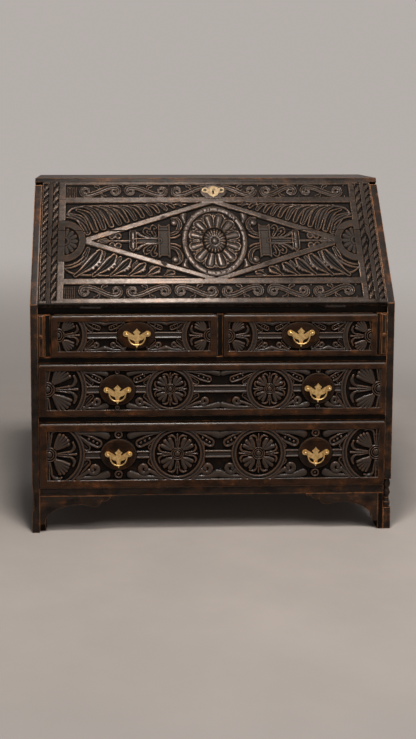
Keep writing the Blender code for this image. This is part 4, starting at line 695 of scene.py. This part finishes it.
def drawerMedallions(carving, plan, top, floor):
    # smooth ovals behind the handles, with a bead above and below each
    bead = plan["bead"]
    beadSection = ((0, top - 0.002), (0.2, top - 0.003), (0.42, floor + 0.001), (0.6, top - 0.001),
                   (0.85, top - 0.001), (1, floor))
    ovalSection = ((0, top), (0.86, top), (0.90, top - 0.0004), (0.94, top - 0.0001), (0.975, top - 0.0008),
                   (1, floor))
    for x, y, wide, tall in plan["medallions"]:
        for lift in (-1, 1):
            carving.turned((x, y + lift * (tall + bead * 0.92)), (bead, bead), beadSection, cut=True)
        carving.turned((x, y), (wide, tall), ovalSection, cut=True)
        carving.darken((x, y), (wide, tall), drawerLook["grime"])


def carveDrawer(node, plan):
    look = drawerLook
    low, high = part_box(node)
    top, floor = look["flush"], look["ground"]
    carving = Carving(spaced(low.x, high.x, plan["pitch"], look["edge"], look["edge"]),
                      spaced(low.z, high.z, plan["pitch"], look["edge"], look["brow"]))
    x0, x1, z0, z1 = plan["panel"]
    carving.sink(x0, x1, z0, z1, floor)
    face = carving.height.copy()
    z, half = plan["strip"]
    carving.stroke([(x0, z), (x1, z)], (half, half), top - 0.0006, floor, "beaded")
    rings = [(x, y, outer, plan["endHub"], 5) for x, y, outer in plan["ends"]]
    rings += [(x, y, outer, plan["roundelHub"], 3) for x, y, outer in plan["roundels"]]
    clear = ((0, floor), (1, floor))
    for x, y, outer, hub, fingers in rings:
        carving.turned((x, y), (outer, outer), clear, cut=True)
    drawerSprays(carving, plan, top - 0.0009, floor)
    for x, y, outer, hub, fingers in rings:
        inner = 1 - look["ringWidth"] / outer
        carving.turned((x, y), (outer, outer), clear, cut=True)
        rosette(carving, (x, y), outer * inner * 0.98, hub, top - 0.0012, floor, fingers)
        ring(carving, (x, y), outer, top - 0.0005, floor, inner)
    drawerMedallions(carving, plan, top, floor)
    outside = np.ones_like(face, bool)
    outside[carving.spot((x0, z0), (x1, z1))[0]] = False
    wall = (face > floor + 1e-6) & ~outside
    carving.height = np.where(outside, face, carving.height)
    carving.height = np.where(wall, np.maximum(face, np.minimum(carving.height, top)), carving.height)
    carving.weather(look["swell"], look["chip"])
    carving.height = np.minimum(carving.height, 0)
    carving.roll(("left", "right", "low"), look["edge"])
    carving.roll(("high",), look["brow"])
    place = Matrix(((1, 0, 0, 0), (0, 0, -1, low.y), (0, 1, 0, 0), (0, 0, 0, 1)))
    carvedBoard(node, carving, place, look["seat"], look["ground"], "carvedAcross", "plainAcross")


for drawerName, drawerPlan in drawerPlans.items():
    carveDrawer(drawerName + "_front", drawerPlan)


# The fall. Places are metres across (X) and up the slope from the hinge axis.
fallLook = {
    "thickness": 0.020, "ground": -0.0066, "shallow": -0.0050, "top": -0.0003, "seat": 0.0085, "edge": 0.004,
    "seam": 0.0018, "joint": 0.0009, "swell": 0.00007, "chip": 0.00004,
    "friezeLow": (0.0185, 0.0670), "friezeHigh": (0.3775, 0.4260), "field": (0.0860, 0.3585),
    "stile": (-0.4380, 0.4415), "stileOuter": (-0.4575, 0.4590), "middle": (0.0140, 0.2188),
    "ring": (0.0995, 0.1260), "halfRing": (0.0640, 0.0750),
    "tips": (-0.3740, 0.3890), "apexes": (0.3635, 0.0810), "band": 0.0088, "undercut": 0.0022,
    "scrollsLow": (-0.400, -0.260, -0.118, 0.021, 0.1555, 0.292, 0.425),
    "scrollsHigh": (-0.402, -0.263, -0.119, 0.022, 0.158, 0.284, 0.427),
    "leafInner": (0.4585, 0.4785), "fillet": (0.4795, 0.4880), "leafOuter": (0.4895, 0.5075),
    "plate": (0.0400, 0.0275), "keyhole": (0.0175, 0.3985),
}


def scrollUnit(carving, x0, x1, y0, y1, rising, top, floor):
    # a broad S-shaped strap that ends in two volutes, with a comma leaf in each of its hollows
    wide, tall = x1 - x0, y1 - y0
    middle = (y0 + y1) / 2
    up = -1 if rising else 1
    half = tall * 0.178
    orbit = tall * 0.5 - half - 0.0004
    left, right = x0 + orbit + half, x1 - orbit - half
    start = coil((0, 0), tall * 0.12, orbit, 90 + 400, 90, 32)
    finish = coil((0, 0), orbit, tall * 0.12, -90, -90 + 400, 32)
    swing = np.linspace(0.06, 0.94, 12)
    join = np.column_stack((left + (right - left) * swing, orbit * np.cos(math.pi * swing)))
    path = np.vstack((start + (left, 0), join, finish + (right, 0)))
    path = np.column_stack((path[:, 0], middle + up * path[:, 1]))
    taper = (0.34, 0.36, 0.42, 0.54, 0.72, 0.9, 1, 1.02)
    for side in (-1, 1):
        def at(u, v):
            return ((x0 + x1) / 2 + side * wide * u, middle + up * side * tall * v)

        comma = curve(at, (0.03, 0.12), (0.04, 0.36), (0.115, 0.40))
        carving.stroke(comma, times(tall, 0.05, 0.10, 0.12, 0.10), top - 0.0004, floor, "hollow")
    carving.stroke(path, times(half, *taper, *taper[::-1]), top, floor, "banded")
    for lift in (-1, 1):  # small beads in the cusp between two units
        carving.turned((x1 + 0.001, middle + lift * tall * 0.42), times(tall, 0.06, 0.08),
                       ((0, top - 0.0004), (0.6, top - 0.0010), (1, floor)))


def spandrelPlace(hand, rise, across, up):
    side = fallLook["stile"][int(hand > 0)]
    edge = fallLook["field"][int(rise > 0)]
    cx, cy = fallLook["middle"]
    return (side + (cx - side) * across, edge + (cy - edge) * up)


def lowLeaves(carving, hand, top, floor):
    # pairs of a narrow and a broad leaf that march along the lozenge, on one stem along the field's edge
    def at(across, up):
        return spandrelPlace(hand, -1, across, up)

    stem = curve(at, (0.008, 0.25), (0.05, 0.145), (0.13, 0.095), (0.4, 0.075), (0.80, 0.05))
    carving.stroke(stem, (0.0034, 0.0048, 0.0048, 0.0040, 0.0026), top - 0.0008, floor)
    scallop = ((0, top - 0.0004), (0.5, top - 0.0002), (0.8, top - 0.0010), (1, floor))
    for index in range(7):
        root = 0.090 + 0.115 * index
        reach = 0.155 * (1 - root)
        width = 0.0225 * (1 - root * 0.80)
        tip = root + reach
        crown = 0.955 - 1.12 * tip
        if crown < 0.08:
            break
        slim = root + reach * 0.46
        slimCrown = 0.965 - 1.12 * slim
        broad = curve(at, (root - reach * 0.1, 0.09), (root + reach * 0.44, 0.10 + crown * 0.30),
                      (tip - reach * 0.16, 0.06 + crown * 0.70), (tip, crown))
        carving.stroke(broad, times(width, 0.36, 0.80, 1, 1, 0.60), top, floor, "frond", over=True)
        for share, out in ((0.36, 0.80), (0.54, 0.98), (0.72, 0.98)):  # scallops of its lower edge
            x, y = broad[int(share * (len(broad) - 1))]
            carving.turned((x - hand * width * out * 0.74, y - width * out * 0.62), times(width, 0.32, 0.32),
                           scallop)
        narrow = curve(at, (root + reach * 0.16, 0.12 + slimCrown * 0.34),
                       (root + reach * 0.30, 0.10 + slimCrown * 0.6), (slim, slimCrown))
        carving.stroke(narrow, times(width, 0.18, 0.40, 0.46, 0.34), top, floor, "leaf")


def highLeaves(carving, hand, top, floor):
    # long feathers that hang from a stem along the field's upper edge and end in round tips at the lozenge
    def at(across, up):
        return spandrelPlace(hand, 1, across, up)

    stem = curve(at, (0.008, 0.30), (0.04, 0.14), (0.12, 0.085), (0.4, 0.07), (0.82, 0.045))
    carving.stroke(stem, (0.0036, 0.0050, 0.0050, 0.0042, 0.0026), top - 0.0008, floor)
    for index in range(13):
        tip = 0.150 + 0.053 * index
        crown = 0.945 - 1.12 * tip
        if crown < 0.06:
            break
        root = tip - 0.125 * min(1, crown * 1.6 + 0.2)
        hang = max(0.10 * min(1, crown * 2), 0.31 - index * 0.12)
        width = 0.0158 * (1 - tip * 0.72)
        bend = (root + (tip - root) * 0.62, hang + (crown - hang) * 0.18)
        leaf = curve(at, (root, hang), bend, (tip, crown))
        carving.stroke(leaf, times(width, 0.42, 0.78, 1, 1, 0.80), top - 0.0004 * (index % 2), floor,
                       "frond" if index % 2 else "leaf", over=True)


def halfRosette(carving, x, y, hand, top, floor):
    for wide, tall in ((0.0835, 0.0960), (0.0745, 0.0865)):  # ridges that follow the ring
        for turn in (90, -90):
            ridge = [(x - hand * wide * math.cos(t), y + tall * math.sin(t))
                     for t in np.radians(np.linspace(turn * 0.98, turn * 0.44, 14))]
            carving.stroke(ridge, (0.0030, 0.0046, 0.0030), top - 0.0006, floor)
    carving.turned((x, y), fallLook["halfRing"],
                   ((0, floor), (0.66, floor), (0.68, top), (0.955, top), (1, floor)), cut=True)
    carving.gadrooned((x, y), (0.0415, 0.0495), 14, top - 0.0006, floor, 0.30, 0.55, 0.16)
    hub = ((0, top - 0.003), (0.45, top - 0.003), (0.62, top - 0.0006), (0.85, top - 0.0006),
           (1, floor + 0.001))
    carving.turned((x, y), (0.0150, 0.0175), hub, cut=True)
    # the band inside the half ring is painted darker and its wax dulled: painted shade
    carving.darken((x, y), fallLook["halfRing"], 0.30)


def strapCurls(carving, at, top, floor):
    # straps that curl from the tablet to a ball, a hook and a tongue by the ring
    curl = curve(at, (0.136, 0.022), (0.117, 0.028), (0.106, 0.044), (0.103, 0.064), (0.112, 0.079),
                 (0.126, 0.080))
    carving.stroke(curl, (0.0056, 0.0074, 0.0084, 0.0078, 0.0060), top - 0.0003, floor, "strap")
    ball = ((0, top), (0.45, top - 0.0004), (0.75, top - 0.0016), (0.9, floor), (1, floor))
    carving.turned(at(0.1215, 0.0660), (0.0120, 0.0130), ball, cut=True)
    hook = curve(at, (0.136, 0.010), (0.118, 0.012), (0.105, 0.021))
    carving.stroke(hook, (0.0040, 0.0046, 0.0036), top - 0.0006, floor)
    tongue = curve(at, (0.089, 0.068), (0.094, 0.086), (0.092, 0.097))
    carving.stroke(tongue, (0.0060, 0.0104, 0.0114), top - 0.0006, floor)
    # branch under the bar, its curled leaves and the rings by the bud
    branch = curve(at, (0.172, 0.0105), (0.203, 0.0110), (0.220, 0.0165), (0.234, 0.0285))
    carving.stroke(branch, (0.0042, 0.0046, 0.0052, 0.0062), top - 0.0004, floor)
    for girth, spots in ((1.0, ((0.196, 0.018), (0.212, 0.030), (0.208, 0.044), (0.199, 0.038))),
                         (0.95, ((0.180, 0.020), (0.190, 0.040), (0.186, 0.054), (0.178, 0.047)))):
        widths = (0.0050, 0.0076 * girth, 0.0078 * girth, 0.0052)
        carving.stroke(curve(at, *spots), widths, top - 0.0004, floor, "hollow")
    eye = ((0, top - 0.0030), (0.36, top - 0.0028), (0.60, top - 0.0002), (0.84, top - 0.0006), (1, floor))
    for x, y, radius in ((0.2915, 0.0175, 0.0118), (0.3100, 0.0150, 0.0106)):
        carving.turned(at(x, y), times(radius, 1, 1.1), eye)


def strapwork(carving, cx, cy, top, floor):
    for hand in (-1, 1):
        for end in (-1, 1):
            strapCurls(carving, lambda x, y: (cx + hand * x, cy + end * y), top, floor)

        def at(x, y):
            return (cx + hand * x, cy + y)

        # tablet with notched ends, hatched and dull
        notches = ((0.1345, 0.0620), (0.1405, 0.0590), (0.1450, 0.0540), (0.1610, 0.0540), (0.1655, 0.0590),
                   (0.1715, 0.0620))
        tablet = [at(x, -y) for x, y in notches] + [at(x, y) for x, y in notches[::-1]]
        carving.slab(tablet, ((0, floor), (0.0012, top - 0.0004), (0.0040, top - 0.0004),
                              (0.0052, top - 0.0022), (0.02, top - 0.0018)))
        for x in np.arange(0.1405, 0.1660, 0.0034):
            carving.groove(at(x, -0.052), at(x, 0.052), 0.0016, 0.0006)
        carving.darken(at(0.1530, 0), (0.022, 0.090), 0.12)
        carving.stroke([at(0.168, 0), at(0.238, 0)], (0.0112, 0.0104, 0.0112), top - 0.0004, floor, "strap")
        collar = [at(x, y) for x, y in ((0.2345, -0.0270), (0.2470, -0.0420), (0.2595, -0.0270),
                                        (0.2595, 0.0300), (0.2560, 0.0400), (0.2380, 0.0400),
                                        (0.2345, 0.0300))]
        carving.slab(collar, ((0, floor), (0.0010, top - 0.0004), (0.0034, top - 0.0002),
                              (0.0044, top - 0.0030), (0.0070, top - 0.0030), (0.0090, top - 0.0014),
                              (0.02, top - 0.0010)))
        carving.stroke([at(0.258, 0), at(0.330, 0)], (0.0060, 0.0034, 0.0042), top - 0.0006, floor)
        bud = [at(x, y) for x, y in ((0.3205, -0.0060), (0.3280, -0.0112), (0.3400, -0.0080), (0.3620, 0.0),
                                     (0.3400, 0.0080), (0.3280, 0.0112), (0.3205, 0.0060))]
        carving.slab(bud, ((0, floor), (0.0008, top - 0.0004), (0.0028, top - 0.0004),
                           (0.0042, top - 0.0030), (0.0062, top - 0.0012), (0.02, top)))


def centreRosette(carving, cx, cy, radii, top, floor):
    # convex petals, each in a rimmed niche, round a scalloped disc with a boss
    rx, ry = radii
    shelf = floor + 0.0018

    def at(turn, share, aside=0.0):
        angle = math.radians(turn)
        way = Vector((rx * math.cos(angle), ry * math.sin(angle)))
        side = Vector((-way.y, way.x)).normalized() * aside
        return (cx + way.x * share + side.x, cy + way.y * share + side.y)

    rim = ((0, shelf), (0.815, shelf), (0.83, floor), (0.845, top - 0.0012), (0.88, top - 0.0002),
           (0.94, top), (0.985, top - 0.0010), (1, floor))
    carving.turned((cx, cy), radii, rim, cut=True)
    for turn in dice.uniform(0, 360, 30):  # stray chisel cuts across the ring
        carving.groove(at(turn, 0.87), at(turn, 0.95), 0.0018, 0.0012)
    for turn in range(15, 375, 30):
        carving.stroke([at(turn + 15, 0.40), at(turn + 15, 0.66)], (0.0014, 0.0034), top - 0.0022, shelf)
        carving.turned(at(turn + 15, 0.735), (0.0052, 0.0060),
                       ((0, top - 0.0004), (0.6, top - 0.0010), (1, shelf)))
        niche = curve(at, (turn, 0.44, -0.0115), (turn, 0.66, -0.0168), (turn, 0.785, -0.0105),
                      (turn, 0.785, 0.0105), (turn, 0.66, 0.0168), (turn, 0.44, 0.0115))
        carving.stroke(niche, (0.0018, 0.0024, 0.0026, 0.0024, 0.0018), top - 0.0008, shelf)
        petal = [at(turn, share) for share in (0.36, 0.52, 0.68)]
        carving.stroke(petal, (0.0072, 0.0100, 0.0118), top + 0.0002, shelf)
    carving.turned((cx, cy), (rx * 0.375, ry * 0.375), ((0, floor), (1, floor)), cut=True)
    carving.gadrooned((cx, cy), (rx * 0.35, ry * 0.35), 20, top, floor, 0.26, 0.5, 0.12)
    boss = ((0, top), (0.4, top - 0.0003), (0.7, top - 0.0016), (0.86, top - 0.004), (1, top - 0.004))
    carving.turned((cx, cy), (rx * 0.115, ry * 0.115), boss, cut=True)


def endBands(carving, look, top):
    # leaf chains either side of a fillet, up both ends of the fall
    shallow = look["shallow"]
    for hand in (-1, 1):
        for name, pitch in (("leafInner", 0.0315), ("leafOuter", 0.0245)):
            x0, x1 = sorted(times(hand, *look[name]))
            carving.sink(x0, x1, 0.012, 0.430, shallow, 0.0012)
            middle, wide = (x0 + x1) / 2, x1 - x0
            for v in np.arange(0.010, 0.420, pitch):
                def at(lean, rise):
                    return (middle + wide * 0.34 * lean, v + pitch * rise)

                leaf = curve(at, (-1, 0.06), (-0.35, 0.5), (0.35, 0.72), (1, 1.06))
                carving.stroke(leaf, times(wide, 0.14, 0.30, 0.32, 0.12), top - 0.0004, shallow, "pillow", 2)
                carving.pit(at(0.95, 0.42), 0.0038, 0.0030)
                carving.pit(at(-0.95, 0.74), 0.0026, 0.0020)
        carving.darken((hand * 0.4838, 0.22), (0.0052, 0.60), 0.30)
        for x in look["fillet"]:
            carving.groove((hand * x, 0.004), (hand * x, 0.436), 0.0016, 0.0018)


def friezes(carving, look, top):  # scroll units between stops, and beaded ribs at the left end
    left, shallow = look["stile"][0], look["shallow"]
    bead = ((0, top - 0.0012), (0.6, top - 0.0018), (1, shallow))
    for height, first in (("Low", 0), ("High", 1)):
        low, high = look["frieze" + height]
        stops = look["scrolls" + height]
        for index in range(6):
            x0, x1 = stops[index] + 0.0012, stops[index + 1] - 0.0012
            scrollUnit(carving, x0, x1, low, high, (first + index) % 2, top - 0.0002, shallow)
        for x in np.arange(left + 0.0035, stops[0] - 0.004, 0.0056):
            for y in np.arange(low + 0.004, high - 0.003, 0.0052):
                carving.turned((x, y), (0.0024, 0.0024), bead)


def carveFall(carving):
    look = fallLook
    ground, shallow, top = look["ground"], look["shallow"], look["top"]
    left, right = look["stile"]
    low, high = look["field"]
    cx, cy = look["middle"]
    band = (look["band"], look["band"])
    wider = [wide + look["undercut"] for wide in band]
    carving.sink(left, right, low, high, ground)
    for name in ("friezeLow", "friezeHigh"):
        carving.sink(left - 0.001, right + 0.001, *look[name], shallow, 0.0016)
    for hand in (-1, 1):
        lowLeaves(carving, hand, top - 0.0004, ground)
        highLeaves(carving, hand, top - 0.0004, ground)
    strapwork(carving, cx, cy, top, ground)
    # the lozenge's bands stand over the leaves, with a shadow line cut beside them
    sides = [(tip, apex, math.copysign(1, cx - tip)) for tip in look["tips"] for apex in look["apexes"]]
    for tip, apex, hand in sides:
        start = (tip - hand * 0.012, cy)
        short = [start, (tip + (cx - tip) * 0.9, cy + (apex - cy) * 0.9)]
        carving.stroke(short, wider, ground - 0.0012, ground, "flat", over=True)
        carving.stroke([start, (cx, apex)], band, top, ground, "flat")
    for x, hand in ((left, -1), (right, 1)):
        halfRosette(carving, x, cy, hand, top, ground)
    centreRosette(carving, cx, cy, look["ring"], top, ground)
    for tip, apex, hand in sides:
        end = (tip + (cx - tip) * 0.62, cy + (apex - cy) * 0.62)
        carving.stroke([(tip - hand * 0.006, cy), end], band, top, ground, "flat")
    friezes(carving, look, top)
    keyX, keyY = look["keyhole"]
    # uncut under the brass plate, but for the keyhole
    carving.turned((keyX, keyY), look["plate"], ((0, 0), (0.97, 0), (1, shallow)), cut=True)
    carving.turned((keyX, keyY - 0.003), (0.0052, 0.0100), ((0, -0.0080), (0.8, -0.0080), (1, 0)), cut=True)
    # the keyhole is painted black: painted shade inside the hole
    carving.darken((keyX, keyY - 0.003), (0.0070, 0.0120), 1.0)
    for x0, x1 in ((look["stileOuter"][0], left), (right, look["stileOuter"][1])):
        carving.height[carving.spot((x0, low - 0.02), (x1, high + 0.02))[0]] = 0.0
    endBands(carving, look, top)


hinge = joints["fall_hinge"]
slopeAngle = math.pi - math.radians(hinge["range_deg"][1])
fallPlace = (Matrix.Translation(hinge["pos_m"]) @ Matrix.Rotation(slopeAngle, 4, "X")
             @ Matrix.Translation((0, 0, fallLook["thickness"])))
fallBack = fallPlace.inverted()


def fallSpan(node):  # a fall board's limits across and up the slope
    corners = np.array([fallBack @ vert.co for vert in nodes[node].data.vertices])
    return corners.min(0), corners.max(0)


fallBoards = {  # grid pitch, rounded edges, finish
    "fall_lower_board": (0.00163, ("low",), "fallAcross"),
    "fall_upper_board": (0.00138, ("high",), "fallAcross"),
    "fall_left_cleat": (0.00105, ("left", "low", "high"), "fallUpright"),
    "fall_right_cleat": (0.00105, ("right", "low", "high"), "fallUpright"),
}
shoulder = fallSpan("fall_right_cleat")[0][0] - 0.0003  # the boards' tongues run on past this
for node, (pitch, rolled, finish) in fallBoards.items():
    low, high = fallSpan(node)
    if node.endswith("board"):
        low[0], high[0] = -shoulder, shoulder
    edge = fallLook["edge"]
    xs = spaced(low[0], high[0], pitch, edge * ("left" in rolled), edge * ("right" in rolled))
    ys = spaced(low[1], high[1], pitch, edge * ("low" in rolled), edge * ("high" in rolled))
    board = Carving(xs, ys)
    carveFall(board)
    board.weather(fallLook["swell"], fallLook["chip"])
    board.height = np.minimum(board.height, 0)
    board.roll(rolled, edge)
    board.roll([side for side in ("left", "right") if side not in rolled], fallLook["joint"])
    board.roll([side for side in ("low", "high") if side not in rolled], fallLook["seam"])
    carvedBoard(node, board, fallPlace, fallLook["seat"], fallLook["ground"], finish)


# Plain boards: a copy of each CAD board with its arrises eased and rubbed
boardLook = {"ease": 0.0012, "band": 0.0050, "rubbed": 0.85, "angle": 32.0, "crisp": 50.0}
grainOf = {
    # near black, dirt and painted shade together: the rail, dustboards, divider, partitions and foot blocks
    "blackAcross": ("fall_rail", "upper_dustboard", "lower_dustboard"),
    "blackUpright": ("drawer_divider", "left_partition", "right_partition", "left_foot_block",
                     "right_foot_block"),
    "brownAcross": ("top_board", "desk_bed", "bottom_rail", "left_bracket_foot", "right_bracket_foot"),
    "insideAcross": ("small_drawer_case", "pigeonholes", "small_drawer_1", "small_drawer_2",
                     "small_drawer_3", "small_drawer_4"),
    "brownUpright": ("left_side", "right_side"),
    "brownDeep": ("left_loper", "right_loper"),
    "plainAcross": ("base_board", *(name + "_bottom" for name in drawerPlans)),
    "plainUpright": ("back_board",),
    "plainDeep": tuple(name + "_carcase" for name in drawerPlans),
}


def wornBoard(node, finish):
    look = boardLook
    bm = mergedCopy(node)
    arrises = [edge for edge in bm.edges if len(edge.link_faces) == 2 and edge.is_convex
               and edge.calc_face_angle() > math.radians(look["angle"])]
    made = bmesh.ops.bevel(bm, geom=arrises, offset=look["ease"], segments=2, affect="EDGES", profile=0.5,
                           material=-1, clamp_overlap=True)
    eased = set(made["faces"])
    rim = {vert for face in eased for vert in face.verts}
    flats = [face for face in bm.faces if face not in eased and len(face.verts) == 4
             and min(edge.calc_length() for edge in face.edges) > 2.4 * look["band"]]
    made = bmesh.ops.inset_individual(bm, faces=flats, thickness=look["band"], use_even_offset=False)
    edging = set(made["faces"])
    wear = [look["rubbed"] if face in eased or (face in edging and vert in rim) else 0.0
            for face in bm.faces for vert in face.verts]
    mesh = newMesh(node + "_worn", bm)
    mesh.polygons.foreach_set("use_smooth", [True] * len(mesh.polygons))
    mesh.set_sharp_from_angle(angle=math.radians(look["crisp"]))
    setAttribute(mesh, "wear", wear, "CORNER")
    setAttribute(mesh, "lift", np.ones(len(mesh.vertices)))
    slot = "plain_oak" if finish.startswith("plain") else "dark_oak"
    addObject(pieceName(node, "Worn"), mesh, node, slot, finish)


for finish, boards in grainOf.items():
    for board in boards:
        wornBoard(board, finish)
print("plain boards eased:", sum(len(boards) for boards in grainOf.values()))

# The plate's keyhole is worn wide: half its width, its reach below and above, and how far each part opens
keyholeLook = {"half": 0.0040, "below": -0.0125, "above": 0.0040, "slot": -0.002, "round": 1.25, "slit": 1.6,
               "taller": 0.15}


def wornEscutcheon(node):
    look = keyholeLook
    bm = mergedCopy(node)
    for vert in bm.verts:
        spot = fallBack @ vert.co
        aside, above = spot.x - fallLook["keyhole"][0], spot.y - fallLook["keyhole"][1]
        if abs(aside) < look["half"] and look["below"] < above < look["above"]:
            wide = look["round"] if above > look["slot"] else look["slit"]
            vert.co += fallPlace.to_3x3() @ Vector((aside * (wide - 1), above * look["taller"], 0))
    addObject("EscutcheonWorn", newMesh(node + "_worn", bm), node, "brass", "paleBrass")


wornEscutcheon("fall_escutcheon")

for node, piece in nodes.items():
    if piece.hide_render:
        continue
    piece.data.materials.clear()
    piece.data.materials.append(finishes["iron" if "lock" in node or "hinge" in node else "brass"])
print("metalwork finished")


# Floor, backdrop and light
stageLook = {
    "floor": (0.43, 0.380, 0.345), "middle": (0.0, 0.25, 0.0), "radius": 24.0, "fade": (1.0, 2.4),
    # near is the tone of a painted shadow about the shadow spot, far the backdrop's own tone
    "near": (0.260, 0.228, 0.207), "far": (0.460, 0.424, 0.400), "dim": (-1.5, 1.8, 0.0),
    "reach": (0.5, 5.5), "above": (0.06, 0.058, 0.056), "rise": (0.25, 0.55), "fill": (0.93, 0.96, 1.0),
    "level": 0.085,
}


def floorFinish(look):
    paint = Finish("floorPaint")
    cloud = paint.noise(2.2, 4.0, 0.6)
    darker, paler = times(0.95, *look["floor"]), times(1.05, *look["floor"])
    paint.set(Base_Color=paint.blend(paint.step(cloud, 0.3, 0.7), darker, paler), Roughness=0.85)
    spot = paint.node("TexCoord", output="Object")
    away = {"operation": "DISTANCE"}
    distance, aside = (paint.node("VectorMath", away, {0: spot, 1: look[place]}, "Value")
                       for place in ("middle", "dim"))
    # the far floor glows as backdrop, painted darker towards the shadow spot behind on the left: a painted shadow
    tone = paint.blend(paint.step(aside, *look["reach"]), look["near"], look["far"])
    glow = paint.node("Emission", None, {"Color": tone})
    paint.mix(paint.step(distance, *look["fade"]) * paint.seen(), glow)
    return paint.material


def studio():
    look = stageLook
    bm = bmesh.new()
    bmesh.ops.create_circle(bm, cap_ends=True, segments=64, radius=look["radius"])
    bmesh.ops.translate(bm, vec=look["middle"], verts=bm.verts)
    mesh = newMesh("floor", bm)
    mesh.materials.append(floorFinish(look))
    sheet = bpy.data.objects.new("floor", mesh)
    bpy.context.scene.collection.objects.link(sheet)
    # the world is a faint fill, and is seen as a pale room that darkens overhead
    room = Finish("room", bpy.data.worlds.new("room"))
    room.set(Color=look["fill"], Strength=look["level"])
    way = room.node("TexCoord", output="Generated")
    up = room.node("SeparateXYZ", None, {"Vector": way}, "Z")
    tone = room.blend(room.step(up, *look["rise"]), look["far"], look["above"])
    room.mix(room.seen(), room.node("Background", None, {"Color": tone}))
    bpy.context.scene.world = room.material


studio()

lampLook = {
    "key": {"at": (-0.10, -1.18, 3.2), "aim": (0.0, -0.1, 0.6), "size": (0.50, 0.46), "power": 68,
            "tint": (1.0, 0.965, 0.93)},
    "room": {"at": (1.2, -2.3, 3.5), "aim": (0.0, 0.2, 0.6), "size": (3.2, 1.6), "power": 70,
             "tint": (1.0, 0.97, 0.945)},
    "front": {"at": (0.3, -4.6, 1.9), "aim": (0.0, 0.0, 0.5), "size": (3.0, 2.0), "power": 6,
              "tint": (1.0, 0.97, 0.94)},
    "rear": {"at": (0.7, 3.4, 2.9), "aim": (0.0, 0.2, 0.7), "size": (3.0, 2.0), "power": 20,
             "tint": (1.0, 0.97, 0.945)},
}
for lampName, look in lampLook.items():
    lamp = bpy.data.lights.new(lampName, "AREA")
    lamp.shape = "RECTANGLE"
    lamp.size, lamp.size_y = look["size"]
    lamp.energy = look["power"]
    lamp.color = look["tint"]
    holder = bpy.data.objects.new(lampName, lamp)
    holder.location = look["at"]
    holder.rotation_euler = (Vector(look["aim"]) - Vector(look["at"])).to_track_quat("-Z", "Y").to_euler()
    bpy.context.scene.collection.objects.link(holder)

bpy.context.scene.view_settings.view_transform = "Standard"

# The photograph is 416 by 739; its long side spans the sensor
cameraLook = {
    "eye": (-0.282, -3.5204, 1.202), "yaw": 2.1, "pitch": 6.22, "focalPixels": 1132.3, "longSide": 739.0,
    "sensor": 36.0, "shift": (50.0, -120.0),
}
view = bpy.data.cameras.new("view")
view.sensor_width = cameraLook["sensor"]
view.lens = cameraLook["focalPixels"] / cameraLook["longSide"] * cameraLook["sensor"]
view.shift_x, view.shift_y = (pixels / cameraLook["longSide"] for pixels in cameraLook["shift"])
stand = bpy.data.objects.new("view", view)
stand.location = cameraLook["eye"]
stand.rotation_euler = (math.radians(90 - cameraLook["pitch"]), 0, math.radians(-cameraLook["yaw"]))
bpy.context.scene.collection.objects.link(stand)
bpy.context.scene.camera = stand
print("stage, lamps and camera set")
